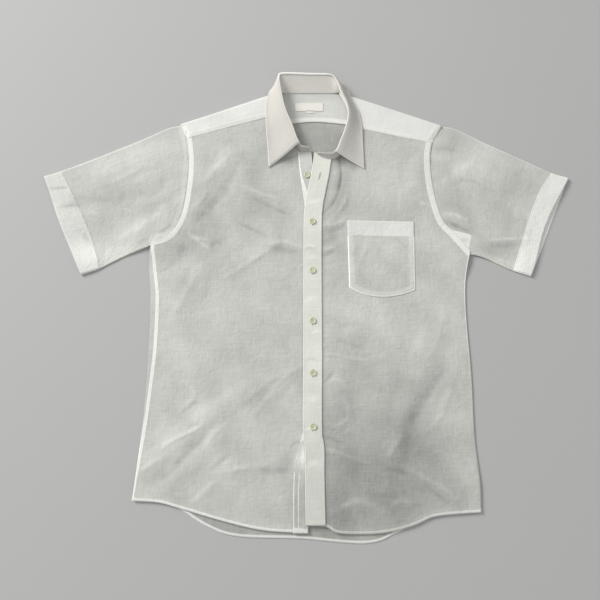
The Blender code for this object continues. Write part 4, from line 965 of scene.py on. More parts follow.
def add_fronts(cloth):
    for node, outline, tops, widths, top, marked, size, rests_on in (
            ("right_front", (RIGHT_EDGE, RIGHT_SIDE, RIGHT_ARMHOLE, RIGHT_FRONT_HEM),
             (BAND_TOP, RIGHT_NECKLINE, RIGHT_YOKE_SEAM), RIGHT_SIDE_BAND, right_front_top,
             (RIGHT_FRONT_TONES, 0.06, 3, RIGHT_FRONT_CREASES), (0.320, 0.755), "back_cloth"),
            ("left_front", (LEFT_EDGE, LEFT_SIDE, LEFT_ARMHOLE, LEFT_FRONT_HEM),
             (PLACKET_TOP, LEFT_NECKLINE, LEFT_YOKE_SEAM), LEFT_SIDE_BAND, left_front_top,
             (LEFT_FRONT_TONES, 0.06, 5, LEFT_FRONT_CREASES), (0.310, 0.730),
             "right_front_cloth")):
        plan = front_plan(*outline, tops)
        _, side, armhole, hem = outline
        tone = tone_from(plan, *marked)
        if top is left_front_top:
            placket_edge = offset(curve(LEFT_EDGE), -PLACKET_WIDTH)
            # Painted shade on the cloth beside the placket's edge
            tone -= PLACKET_SHADE * near(distance_to(placket_edge, plan), 0.001, 0.007)
        flat_sheet(node, plan, top(plan), front_doubling(plan, armhole, hem, side, widths), tone,
                   cloth)


def add_back(cloth):
    across, up = marks((1.0, 110)), marks((HEM_MARK, 3), (BACK_UNDERARM, 90), (1.0, 50))
    bottom = along(curve(BACK_HEM), across)
    top = along(offset(curve(BACK_YOKE_SEAM), HALF_LAP), across)
    right_arm = np.vstack([curve(RIGHT_ARMHOLE), top[0]])
    left_arm = np.vstack([curve(LEFT_ARMHOLE), top[-1]])
    left = edge(up, (curve(RIGHT_SIDE), 0, BACK_UNDERARM), (right_arm, BACK_UNDERARM, 1))
    right = edge(up, (curve(LEFT_SIDE), 0, BACK_UNDERARM), (left_arm, BACK_UNDERARM, 1))
    plan = patch(across, up, bottom, top, left, right)
    lie = STEP * near(distance_to(top, plan), BACK_LEVEL, BACK_SLOPE)
    lift = 0.5 * (folds(plan, RIGHT_FRONT_FOLDS) + folds(plan, LEFT_FRONT_FOLDS))
    creased = creases(plan, RIGHT_FRONT_CREASES) + creases(plan, LEFT_FRONT_CREASES)
    lift += 0.3 * np.maximum(creased, 0)
    doubling = away_from(BACK_HEM, plan) - HEM_SHOWN
    tone = tone_from(plan, BACK_TONES, 0.05, 7)
    tone = np.where(doubling < 0, tone, tone * SINGLE_TONE)
    flat_sheet("back_panel", plan, lie + CLOTH + lift, doubling, tone, cloth,
               name="back_cloth", thickness=BACK_THIN)


def strip_plan(outer_edge, width, shares, across):
    """A band of even width along an edge, to its left for a positive width."""
    line = curve(outer_edge)
    near_side = along(line, shares)
    far_side = along(offset(line, width), shares)
    across = np.asarray(across)[None, :, None]
    return near_side[:, None] * (1 - across) + far_side[:, None] * across


def hole_shares(line, centres):
    """Shares of a line's length at both ends of each buttonhole."""
    run, half = shares_of(line), BUTTONHOLE_LENGTH / 2
    return [[float(np.interp(y + end, line[:, 1], run)) for end in (-half, half)] for y in centres]


def button_heights():
    return [BUTTON_TOP_Y - k * BUTTON_PITCH for k in range(BUTTONS_SHUT)]


def placket_top(plan):
    wave = creases(plan, PLACKET_CREASES) + 0.3 * CRINKLE * ripples(plan, 0.030, 31)
    return left_front_top(plan) + STEP + np.maximum(wave, -SINK)


def add_front_bands(sheer, doubled):
    shares = even(260)
    band = strip_plan(RIGHT_EDGE, BAND_WIDTH, shares, even(14))
    inner = distance_to(offset(curve(RIGHT_EDGE), BAND_WIDTH), band)
    outer = away_from(RIGHT_EDGE, band)
    low = away_from(RIGHT_FRONT_HEM, band) - HEM
    lines = np.min([np.abs(inner - place) - half for place, half in BAND_LINES], axis=0)
    turned_in = np.interp(band[..., 1], *BAND_TURNING_AT)
    opened = band[..., 1] < BAND_OPEN_Y + BAND_OPEN_RAGGED * ripples(band, 0.008, 53)
    turning = np.where(opened, lines, inner - turned_in)
    doubling = np.minimum(np.minimum(turning, outer - BAND_OUTER_RIM), low)
    tone = tone_from(band, BAND_TONES, 0.03, 9, RIGHT_FRONT_CREASES)
    tone -= BAND_OPEN_SHADE * opened
    top = right_front_top(band) + STEP + np.maximum(creases(band, BAND_CREASES), 0)
    flat_sheet("button_band", band, top, doubling, tone, sheer)

    line = curve(LEFT_EDGE)
    holes = hole_shares(line, [OPEN_BUTTONHOLE[1]] + button_heights())
    stops = sorted(set(even(420).tolist() + [s for pair in holes for s in pair]))
    half = BUTTONHOLE_SLIT / 2 / PLACKET_WIDTH
    columns = 10
    across = np.concatenate([np.linspace(0, 0.5 - half, columns),
                             np.linspace(0.5 + half, 1, columns)])
    plan = strip_plan(LEFT_EDGE, -PLACKET_WIDTH, np.array(stops), across)
    gap = np.minimum(distance_to(line, plan), distance_to(offset(line, -PLACKET_WIDTH), plan))
    gone = {i * (len(across) - 1) + columns - 1
            for i, (low, high) in enumerate(zip(stops, stops[1:]))
            if any(start - 1e-9 <= low and high <= end + 1e-9 for start, end in holes)}
    tone = tone_from(plan, PLACKET_TONES, 0.03, 13, PLACKET_CREASES)
    flat_sheet("placket", plan, placket_top(plan), gap - PLACKET_STITCH, tone, doubled,
               holes=gone)


def pocket_sides(plan):
    """Distance to the nearest sewn edge of the pocket."""
    return np.min([away_from(side, plan)
                   for side in (POCKET_LEFT, POCKET_RIGHT, POCKET_BOTTOM)], axis=0)


def pocket_top(plan):
    bulge = creases(plan, POCKET_CREASES) + 0.5 * CRINKLE * ripples(plan, 0.035, 41)
    drawn_down = POCKET_SINK * near(pocket_sides(plan), 0.0003, 0.004)
    return left_front_top(plan) + STEP + np.maximum(bulge, -SINK) - drawn_down


def add_pocket(cloth):
    across = marks((1.0, 48))
    up = marks((POCKET_HEM_MARK, 40), (1.0, 14))
    plan = patch(across, up, along(curve(POCKET_BOTTOM), across),
                 along(curve(POCKET_TOP), across), along(curve(POCKET_LEFT), up),
                 along(curve(POCKET_RIGHT), up))
    sewn = pocket_sides(plan)
    top = away_from(POCKET_TOP, plan) - POCKET_HEM
    tone = tone_from(plan, POCKET_TONES, 0.04, 15, POCKET_CREASES)
    tone += np.where(top > 0, POCKET_STRIP_GLOW * near(sewn, POCKET_TURNING, 0.0015),
                     -POCKET_TOP_SHADE)
    flat_sheet("chest_pocket", plan, pocket_top(plan), np.minimum(sewn - POCKET_RIM, top), tone,
               cloth)


# Yoke

def strip_lie(plan, low, tip):
    """Height of the yoke's front strips, which are drawn down at their seam and tip."""
    return 2 * YOKE_TURN - np.maximum(YOKE_SINK * near(distance_to(low, plan), 0.0005, 0.008),
                                      TIP_SINK * near(distance_to(tip, plan), 0.0010, 0.0080))


def add_yoke(doubled):
    """Outer yoke: the back part, folded over both shoulders down to the front seams."""
    shoulder, neck, depth, strip_rows = 50, 24, 14, 22
    across = marks((YOKE_NECK[0], shoulder), (YOKE_NECK[1], neck), (1.0, shoulder))
    up = marks((1.0, depth))
    top = edge(across, (curve(RIGHT_SHOULDER), 0, YOKE_NECK[0]), (curve(BACK_NECK), *YOKE_NECK),
               (curve(LEFT_SHOULDER), YOKE_NECK[1], 1))
    bottom = along(offset(curve(BACK_YOKE_SEAM), -HALF_LAP), across)
    columns = len(across)
    outward = np.zeros((columns, 2))
    for side in (slice(0, shoulder + 1), slice(shoulder + neck, columns)):
        outward[side] = offset(top[side], 1.0) - top[side]
    inset = top - outward * YOKE_TURN
    plan = straight_sided(across, up, bottom, inset)
    points = [(*xy, 0.0) for row in plan for xy in row]
    uv = [tuple(xy) for row in plan for xy in row]
    doubling = [SINGLE] * len(points)
    faces = grid_faces(len(up), columns)
    area = grid_area(plan)
    for start, seam, neck_edge in ((0, RIGHT_YOKE_SEAM, RIGHT_STRIP_NECK),
                                   (shoulder + neck, LEFT_YOKE_SEAM, LEFT_STRIP_NECK)):
        chosen = slice(start, start + shoulder + 1)
        ridge = inset[chosen]
        rows = turned(ridge, outward[chosen], YOKE_TURN, YOKE_TURN,
                      [math.radians(a) for a in (-60, -30, 0, 30, 60, 90)])
        seam_line = offset(curve(seam), -HALF_LAP if start else HALF_LAP)
        low = along(seam_line if start else seam_line[::-1], even(shoulder + 1))
        inner = along(curve(neck_edge), 1 - even(strip_rows))
        bend = inner - along(np.array([inner[0], inner[-1]]), even(strip_rows))
        weight = even(shoulder + 1)[::-1 if start else 1][None, :, None] ** 3
        share = even(strip_rows)[:, None, None]
        strip = ridge[None] * (1 - share) + low[None] * share + bend[:, None] * weight
        tip = strip[:, 0 if start == 0 else -1]
        seam_away, tip_away = distance_to(low, strip), distance_to(tip, strip)
        sunk = (strip_lie(strip, low, tip) - 2 * YOKE_TURN) * share[..., 0] ** 0.25
        height = 2 * YOKE_TURN + np.maximum(creases(strip, YOKE_CREASES), 0) + sunk
        rows += [np.column_stack([row, z]) for row, z in zip(strip[1:], height[1:])]
        area += grid_area(strip)
        felled = np.minimum(seam_away - YOKE_TURNING, tip_away - ARM_BAND)
        previous = [(len(up) - 1) * columns + start + j for j in range(shoulder + 1)]
        for k, row in enumerate(rows):
            current = list(range(len(points), len(points) + shoulder + 1))
            points.extend(map(tuple, row))
            uv.extend((x, y) for x, y in row[:, :2])
            gaps = felled[k - 5] if k > 5 else np.full(shoulder + 1, SINGLE)
            doubling.extend(gaps.tolist())
            faces.extend((previous[j], previous[j + 1], current[j + 1], current[j])
                         for j in range(shoulder))
            previous = current
    tone = tone_from(np.array(uv), (), 0.05, 17)
    piece = lay("yoke_cloth", points, faces, uv, doubling, tone, doubled, THIN, facing_up=False,
                witness=0)
    declare(piece, "yoke", area)


def inner_yoke_plan():
    across = marks((INNER_YOKE_NECK[0], 12), (INNER_YOKE_NECK[1], 40), (1.0, 12))
    up = marks((1.0, 24))
    sides = []
    for shoulder, neck in ((RIGHT_SHOULDER, RIGHT_NECK_SIDE), (LEFT_SHOULDER, LEFT_NECK_SIDE)):
        line = curve(shoulder)
        inset = np.interp(np.linalg.norm(line - neck, axis=1), (0, 0.025),
                          (INNER_CORNER_INSET, INNER_YOKE_INSET))
        sides.append(line - (offset(line, 1.0) - line) * inset[:, None])
    right = along(sides[0], np.linspace(INNER_YOKE_SHOULDER, 1, 20))
    left = along(sides[1], np.linspace(0, 1 - INNER_YOKE_SHOULDER, 20))
    neck = np.vstack([right[-1], curve(BACK_NECK)[1:-1] - (0, INNER_NECK_INSET), left[0]])
    top = edge(across, (right, 0, INNER_YOKE_NECK[0]), (neck, *INNER_YOKE_NECK),
               (left, INNER_YOKE_NECK[1], 1))
    seam = offset(curve(BACK_YOKE_SEAM), -HALF_LAP)
    start, end = INNER_YOKE_SEAM
    bottom = along(seam, start + (end - start) * across)
    return straight_sided(across, up, bottom, top)


def add_inner_yoke(doubled, labels):
    plan = inner_yoke_plan()
    doubling = distance_to(offset(curve(BACK_YOKE_SEAM), -HALF_LAP), plan) - YOKE_TURNING
    tone = tone_from(plan, INNER_YOKE_TONES, 0.05, 19) * np.where(doubling < 0, 1.0, INNER_TONE)
    flat_sheet("inner_yoke", plan, INNER_YOKE_LIE + CLOTH, doubling, tone, doubled)


# Sleeves

def sleeve_shape(inner_end, side, lower, top, cuff, bow, cuff_line, fold_table, crease_table, seed):
    """Rings of a flattened tube, with the marks and grain of each point."""
    to_cuff = marks((SLEEVE_LAP_MARK, 5), (CUFF_MARK, 74), (CUFF_STEP_MARK, 1), (1.0, 16))
    over = even(92)
    plan = patch(over, to_cuff, along(inner_end, over), along(curve(cuff), over),
                 along(curve([inner_end[0], *lower]), to_cuff),
                 along(curve([inner_end[-1], *top]), to_cuff))
    from_body = distance_to(inner_end, plan)
    lapped = near(from_body, SLEEVE_LEVEL, LAP_SLOPE)
    on_yoke = near(away_from(BACK_YOKE_SEAM, plan), SLEEVE_ON_YOKE_LEVEL,
                   SLEEVE_ON_YOKE_SLOPE)
    under = STEP * lapped * (1 + on_yoke)
    hem = np.clip((to_cuff - CUFF_RISE_START) / (CUFF_MARK - CUFF_RISE_START), 0, 1)[:, None]
    thick = SLEEVE_THICK + (CUFF_THICK - SLEEVE_THICK) * hem
    inside = np.clip(16 * over * (1 - over), 0, 1)[None, :]
    soft = creases(plan, crease_table) + CRINKLE * ripples(plan, CRINKLE_SIZE, seed)
    over_it = ((under + thick) * (1 - lapped) + SLEEVE_LAP_TOP * lapped + folds(plan, fold_table)
               + np.maximum(soft * inside * (1 - lapped), -SINK))
    shift = (plan[-3] - plan[-1]) / np.linalg.norm(plan[-3] - plan[-1], axis=-1)[:, None]
    draw_back = bow * np.sin(math.pi * over) ** 1.5
    pull = np.clip((to_cuff - 0.5) / 0.5, 0, 1) ** 2
    upper_plan = plan + pull[:, None, None] * (shift * draw_back[:, None])[None]
    edges = {-1: offset(plan[:, -1], side) - plan[:, -1], 0: offset(plan[:, 0], -side) - plan[:, 0]}
    step_rise = near(-side * beside(cuff_line, upper_plan)[0], 0.0, 0.002) * CUFF_RISE
    girth = np.linalg.norm(plan[0, 0] - plan[0, -1])
    turn_angles = [math.radians(a) for a in (60, 30, 0, -30, -60)]
    by_fold = {end: np.clip(1 - away / FOLD_SHARE, 0, 1)
               for end, away in ((0, over), (-1, 1 - over))}
    rings, grain = [], []
    for i, mark in enumerate(to_cuff):
        upper, below, turns = upper_plan[i].copy(), plan[i].copy(), {}
        height = over_it[i] + step_rise[i] * inside[0]
        for end, outward in edges.items():
            radius = (over_it[i, end] - under[i, end]) / 2
            drawn_in = by_fold[end][:, None] * outward[i] * radius
            upper, below = upper - drawn_in, below - drawn_in
            turns[end] = [(*(upper[end] + outward[i] * radius * math.cos(a)),
                           under[i, end] + radius * (1 + math.sin(a))) for a in turn_angles]
        rings.append([(*xy, z) for xy, z in zip(upper, height)] + turns[-1]
                     + [(*xy, z) for xy, z in zip(below[::-1], under[i, ::-1])] + turns[0][::-1])
        round_it = np.linspace(0, 2 * girth, len(rings[0]))
        grain.append([(u, mark * SLEEVE_LENGTH) for u in round_it])
    return over, to_cuff, np.array(rings), np.array(grain)


def add_sleeve(node, armhole, tip, side, lower, top, cuff, bow, cuff_table, fold_table,
               crease_table, tones, seed, cloth):
    """A flattened tube; gives back its upper layer and the line where the cuff's turning ends."""
    arm = np.vstack([curve(armhole), tip])
    inner_end = offset(arm, side * LAP)
    inner_end[-1] = inner_end[-2] + (inner_end[-1] - inner_end[-2]) * 0.8
    cuff_line = curve(cuff_table)
    over, to_cuff, rings, grain = sleeve_shape(inner_end, side, lower, top, cuff, bow, cuff_line,
                                               fold_table, crease_table, seed)
    rows, columns = rings.shape[:2]
    flat = rings[..., :2]
    away = -side * beside(cuff_line, flat)[0]
    doubling = np.minimum(away, inside_of(flat, UNDERARM_FLAP)) if side > 0 else away
    tone = tone_from(flat, tones, 0.06, seed + 1, crease_table)
    tone += CUFF_TONE[side > 0] * near(away, 0.0, 0.001)
    folded = np.minimum(distance_to(curve([inner_end[0], *lower]), flat),
                        distance_to(curve([inner_end[-1], *top]), flat))
    tone += EDGE_GLOW * near(folded, 0.0012, 0.0020) * near(-away, 0.0, 0.001)
    if side < 0:
        tone += SEAM_GLOW * near(distance_to(arm, flat), SEAM_STRIP, 0.0012)
    # Painted light on the sleeve's under sheet, lifting it out of the shade it lies in
    tone[:, len(over):] += UNDER_SHEET_PAINTED_LIGHT
    witness = (rows // 2) * columns + len(over) // 2
    faces = grid_faces(rows, columns, closed=True)
    piece = lay(node + "_cloth", rings, faces, grain, doubling, tone, cloth, THIN,
                witness=witness)
    around = np.concatenate([rings, rings[:, :1]], axis=1)
    declare(piece, node, grid_area(around))
    return rings[:, :len(over)], cuff_line


# Collar

def collar_points():
    """Band and fall as grids of points, foot to top and top to edge."""
    stations = curve(BAND, per_span=COLLAR_ROWS)
    foot, top = stations[:, :3], stations[:, 3:]
    up = top - foot
    length = np.linalg.norm(up, axis=1)[:, None]
    hollow = np.zeros_like(up)
    hollow[:, :2] = -up[:, :2] / length
    band = []
    for share in STAND_SHARES:
        rise = share * (1 - FALL_SEAM / length)
        band.append(foot + up * rise + hollow * STAND_HOLLOW * math.sin(math.pi * max(share, 0)))
    tops = stations[COLLAR_ROWS: -COLLAR_ROWS][:, 3:]
    upright = (up / length)[COLLAR_ROWS: -COLLAR_ROWS]
    inward = np.cross(np.gradient(tops, axis=0), upright)
    inward /= np.linalg.norm(inward, axis=1)[:, None]
    middle = np.array([*NECK_MIDDLE, tops[:, 2].mean()])
    inward *= np.sign(((middle - tops) * inward).sum(1))[:, None]
    falls = curve(FALL, per_span=COLLAR_ROWS)
    edge_points, roll, lie = falls[:, :3], falls[:, 3:6], falls[:, 6:7]
    flat = edge_points + (tops - edge_points) * lie * (1, 1, 0)
    fall = [tops - upright * LIP * down + inward * COLLAR_THIN * aside
            for down, aside in LIP_TURN]
    for t in FALL_SHARES:
        fall.append((1 - t) ** 3 * tops + 3 * (1 - t) ** 2 * t * (tops + roll)
                    + 3 * (1 - t) * t * t * flat + t ** 3 * edge_points)
    return np.array(band), np.array(fall)


def run_of(points):
    """Length run along a grid, for its grain."""
    across = np.linalg.norm(np.diff(points, axis=1), axis=-1)
    up = np.linalg.norm(np.diff(points, axis=0), axis=-1)
    u = np.concatenate([np.zeros((points.shape[0], 1)), np.cumsum(across, axis=1)], axis=1)
    v = np.concatenate([np.zeros((1, points.shape[1])), np.cumsum(up, axis=0)], axis=0)
    return np.dstack([np.broadcast_to(u.mean(0), u.shape), v])


def add_collar(doubled):
    band, fall = collar_points()
    grain = run_of(band)
    ends = np.minimum(grain[..., 0], grain[..., 0].max() - grain[..., 0])
    # Whiter rim along the stand's top edge, widest near its ends, where it is a painted highlight on
    # the edge that faces the light
    rim = np.interp(ends, *STAND_RIM_WITH_HIGHLIGHT)
    below_top = np.linalg.norm(band - band[-1][None], axis=-1)
    tone = STAND_TONE + 0.04 * np.cos(math.pi * even(len(band)))[:, None]
    # Painted shade on the stand's ends, whose outer faces lie in shadow
    tone = tone - STAND_END_SHADE * near(ends, 0.022, 0.020)
    piece = lay("collar_band_cloth", band, grid_faces(*band.shape[:2]), grain,
                np.minimum(ends - STAND_RIM_WITH_HIGHLIGHT[1][-1], below_top - rim), tone, doubled,
                COLLAR_THIN, side=0.0)
    declare(piece, "collar_band",
            grid_area(band))
    grain = run_of(fall)
    from_edge = np.minimum(np.linalg.norm(fall - fall[-1][None], axis=-1),
                           np.minimum(distance_to(fall[:, 0, :2], fall[..., :2]),
                                      distance_to(fall[:, -1, :2], fall[..., :2])))
    fold = np.linalg.norm(fall - fall[LIP_ROWS][None], axis=-1)
    fold[:LIP_ROWS] *= np.clip((fall[:LIP_ROWS, :, 0] - 0.030) / 0.020, 0, 1)
    # Whiter line along the roll, partly cloth seen edge-on and partly a painted highlight on its
    # crest
    doubling = np.minimum(from_edge - FALL_RIM, fold - FALL_FOLD_RIM_AND_HIGHLIGHT)
    # Painted shade on the upper part of the wearer's left collar leaf
    high = (np.clip((fall[..., 1] - LEAF_SHADE_Y) / LEAF_SHADE_REACH, 0, 1)
            * np.clip(fall[..., 0] / LEAF_SHADE_REACH, 0, 1))
    piece = lay("collar_fall_cloth", fall, grid_faces(*fall.shape[:2]), grain, doubling,
                1 - LEAF_SHADE * high, doubled, COLLAR_THIN, side=0.0)
    declare(piece, "collar_fall",
            grid_area(fall))
    return fall


# Label

def rounded_plate(name, box, lower, upper, bevel, material):
    """A small soft-edged plate between two heights."""
    work = bmesh.new()
    bmesh.ops.create_cube(work, size=1.0)
    for vertex in work.verts:
        x, y, z = vertex.co
        vertex.co = (box["x"][x > 0] + LAID[0], box["y"][y > 0] + LAID[1],
                     upper if z > 0 else lower)
    piece = shown_work(name, work, material)
    soft = piece.modifiers.new("soft_edge", "BEVEL")
    soft.width = bevel
    soft.segments = 2
    return piece


def add_labels(satin):
    """Bare woven label and bare size tab."""
    low = INNER_YOKE_LIE + STEP
    high = low + LABEL_CLOTH
    return [part_of_shirt(rounded_plate(node + "_plain", box, low, high, LABEL_EDGE, satin),
                          node)
            for node, box in (("neck_label", LABEL), ("size_tab", SIZE_TAB))]


# Buttons and thread

def button_mesh(name):
    """A four-holed dished button, turned from its profile, with its face at its own height 0."""
    profile = [(0.0, -0.0008), (0.0030, -0.0008), (0.0036, -0.0006), (0.0041, -0.0001),
               (0.0045, 0.0), (BUTTON_RADIUS - 0.0004, -0.0001), (BUTTON_RADIUS - 0.0001, -0.0005),
               (BUTTON_RADIUS, -0.0010), (BUTTON_RADIUS - 0.0003, -0.0016),
               (BUTTON_RADIUS - 0.0010, -0.0021), (0.0, -0.0021)]
    turns = 48
    points, faces = [], []
    for r, z in profile[1:-1]:
        for k in range(turns):
            a = 2 * math.pi * k / turns
            points.append((r * math.cos(a), r * math.sin(a), z))
    rings = len(profile) - 2
    for i in range(rings - 1):
        for k in range(turns):
            n = (k + 1) % turns
            faces.append((i * turns + k, (i + 1) * turns + k, (i + 1) * turns + n, i * turns + n))
    top, bottom = len(points), len(points) + 1
    points += [(0, 0, profile[0][1]), (0, 0, profile[-1][1])]
    faces += [(top, k, (k + 1) % turns) for k in range(turns)]
    last = (rings - 1) * turns
    faces += [(bottom, last + (k + 1) % turns, last + k) for k in range(turns)]
    mesh = bpy.data.meshes.new(name)
    mesh.from_pydata(points, [], faces)
    return mesh


def thread_bars(name, places, material):
    """Thread through the four holes of every button, and the shanks below."""
    work = bmesh.new()
    for x, y, z, turn, shank in places:
        for side in (-1, 1):
            for lift, thick in ((0.0, 0.00034), (0.00022, 0.00028)):
                bar = (Matrix.Translation((x, y, z - 0.0006 + lift)) @ Matrix.Rotation(turn, 4, "Z")
                       @ Matrix.Translation((side * HOLE_APART / 2, 0, 0))
                       @ Matrix.Diagonal((thick, HOLE_APART / 2 + 0.0004, 0.0003, 1)))
                bmesh.ops.create_icosphere(work, subdivisions=2, radius=1.0, matrix=bar)
        if shank:
            bmesh.ops.create_cone(work, cap_ends=True, segments=12, radius1=THREAD_RADIUS,
                                  radius2=THREAD_RADIUS, depth=shank,
                                  matrix=Matrix.Translation((x, y, z - BUTTON_THICK - shank / 2)))
    part_of_shirt(shown_work(name, work, material, smooth=True))


def add_buttons(shell, thread):
    places = [(*OPEN_BUTTON, FRONT_LIE + 2 * STEP, BUTTON_TURNS[0], 0.0)]
    places += [(BUTTON_X, y, FRONT_LIE + 4 * STEP, turn, 2 * STEP)
               for y, turn in zip(button_heights(), BUTTON_TURNS[1:])]
    bars = []
    for k, (x, y, seat, turn, shank) in enumerate(places):
        node = f"button_{k + 1}"
        x, y, turned_by = x + LAID[0], y + LAID[1], Matrix.Rotation(turn, 4, "Z")
        mesh = button_mesh(node + "_turned")
        mesh.transform(Matrix.Translation((x, y, seat + BUTTON_THICK)) @ turned_by)
        piece = shown(node + "_turned", mesh, shell, smooth=True)
        drill = bmesh.new()
        for sx, sy in ((-1, -1), (-1, 1), (1, -1), (1, 1)):
            spot = turned_by @ Vector((sx * HOLE_APART / 2, sy * HOLE_APART / 2, 0))
            bmesh.ops.create_cone(
                drill, cap_ends=True, segments=14, radius1=HOLE_RADIUS, radius2=HOLE_RADIUS,
                depth=0.0030, matrix=Matrix.Translation((x + spot.x, y + spot.y, seat + 0.0012)))
        tool = shown_work("drill", drill)
        cut = piece.modifiers.new("holes", "BOOLEAN")
        cut.operation = "DIFFERENCE"
        cut.object = tool
        settle(piece)
        bpy.data.objects.remove(tool, do_unlink=True)
        part_of_shirt(piece, node)
        bars.append((x, y, seat + BUTTON_THICK, turn, shank))
    thread_bars("button_thread", bars, thread)


def settle(piece):
    """Turns what the modifiers make into the piece's own mesh."""
    graph = bpy.context.evaluated_depsgraph_get()
    made = bpy.data.meshes.new_from_object(piece.evaluated_get(graph))
    made.name = piece.name
    piece.modifiers.clear()
    piece.data = made


# Node trees

def nodes_of(tree):
    """A short way to add a node: its settings first, then its inputs as values or links."""
    def put(kind, **values):
        node = tree.nodes.new(kind)
        for key, value in values.items():
            if key.islower() and hasattr(node, key):
                setattr(node, key, value)
                continue
            socket = node.inputs[int(key[1:]) if key[1:].isdigit() else key.replace("_", " ")]
            if isinstance(value, bpy.types.NodeSocket):
                tree.links.new(value, socket)
            else:
                socket.default_value = value
        return node
    return put


def sum_of(put, operation, first, second=0.0):
    return put("ShaderNodeMath", operation=operation, i0=first, i1=second).outputs[0]


def sums_of(put):
    """Ways to add, take away and multiply two values."""
    return (partial(sum_of, put, operation) for operation in ("ADD", "SUBTRACT", "MULTIPLY"))


def group(name, kind, inputs, outputs):
    """An empty node group with named sockets, its way to add nodes, and its inputs."""
    tree = bpy.data.node_groups.new(name, kind)
    for in_out, sockets in (("INPUT", inputs), ("OUTPUT", outputs)):
        for socket, sort in sockets:
            tree.interface.new_socket(socket, in_out=in_out, socket_type="NodeSocket" + sort)
    put = nodes_of(tree)
    return tree, put, put("NodeGroupInput").outputs


# Stitches

def stitch_tree():
    """Lays one stitch after another along every seam line."""
    tree, put, given = group("stitches_along_a_seam", "GeometryNodeTree",
                             (("Seams", "Geometry"), ("Pitch", "Float"), ("Length", "Float"),
                              ("Width", "Float"), ("Turn", "Float"), ("Thread", "Material")),
                             (("Stitches", "Geometry"),))
    tree.is_modifier = True
    line = put("GeometryNodeMeshToCurve", Mesh=given["Seams"]).outputs["Curve"]
    spots = put("GeometryNodeCurveToPoints", mode="LENGTH", Curve=line, Length=given["Pitch"])
    ball = put("GeometryNodeMeshIcoSphere", Subdivisions=1, Radius=0.5).outputs["Mesh"]
    shape = put("ShaderNodeCombineXYZ", X=given["Length"], Y=given["Width"], Z=given["Width"])
    size = put("GeometryNodeTransform", Geometry=ball, Scale=shape.outputs["Vector"])
    smooth = put("GeometryNodeSetShadeSmooth", Geometry=size.outputs["Geometry"])
    aim = put("FunctionNodeAlignRotationToVector", axis="X", Vector=spots.outputs["Tangent"])
    turn = put("FunctionNodeAxisAngleToRotation", Axis=(0, 0, 1), Angle=given["Turn"])
    both = put("FunctionNodeRotateRotation", rotation_space="LOCAL",
               Rotation=aim.outputs["Rotation"], Rotate_By=turn.outputs["Rotation"])
    copies = put("GeometryNodeInstanceOnPoints", Points=spots.outputs["Points"],
                 Instance=smooth.outputs["Geometry"], Rotation=both.outputs["Rotation"])
    real = put("GeometryNodeRealizeInstances", Geometry=copies.outputs["Instances"])
    dye = put("GeometryNodeSetMaterial", Geometry=real.outputs["Geometry"],
              Material=given["Thread"])
    put("NodeGroupOutput", Stitches=dye.outputs["Geometry"])
    return tree


def sew(name, lines, pitch, length, width, turn, thread, tree):
    """One mesh of stitches along a list of seam lines."""
    points, edges = [], []
    for line in lines:
        start = len(points)
        points.extend((x + LAID[0], y + LAID[1], z) for x, y, z in line)
        edges.extend((k, k + 1) for k in range(start, len(points) - 1))
    mesh = bpy.data.meshes.new(name)
    mesh.from_pydata(points, edges, [])
    piece = shown(name, mesh)
    laid = piece.modifiers.new("stitches", "NODES")
    laid.node_group = tree
    values = {"Pitch": pitch, "Length": length, "Width": width, "Turn": turn, "Thread": thread}
    for item in tree.interface.items_tree:
        if item.item_type == "SOCKET" and item.in_out == "INPUT" and item.name in values:
            laid[item.identifier] = values[item.name]
    settle(piece)
    part_of_shirt(piece)


def on_surface(plan_line, height, spacing=0.004):
    """A seam line set on the cloth at even spacing."""
    length = np.linalg.norm(np.diff(plan_line, axis=0), axis=1).sum()
    line = along(plan_line, np.linspace(0, 1, max(2, int(length / spacing))))
    z = height(line[None])[0] if callable(height) else np.full(len(line), height)
    return np.column_stack([line, z + THREAD_RISE])


def inward(line, distance, side):
    return offset(curve(line), side * distance)


def trimmed(line, start, end):
    return along(line, np.linspace(start, end, 80))


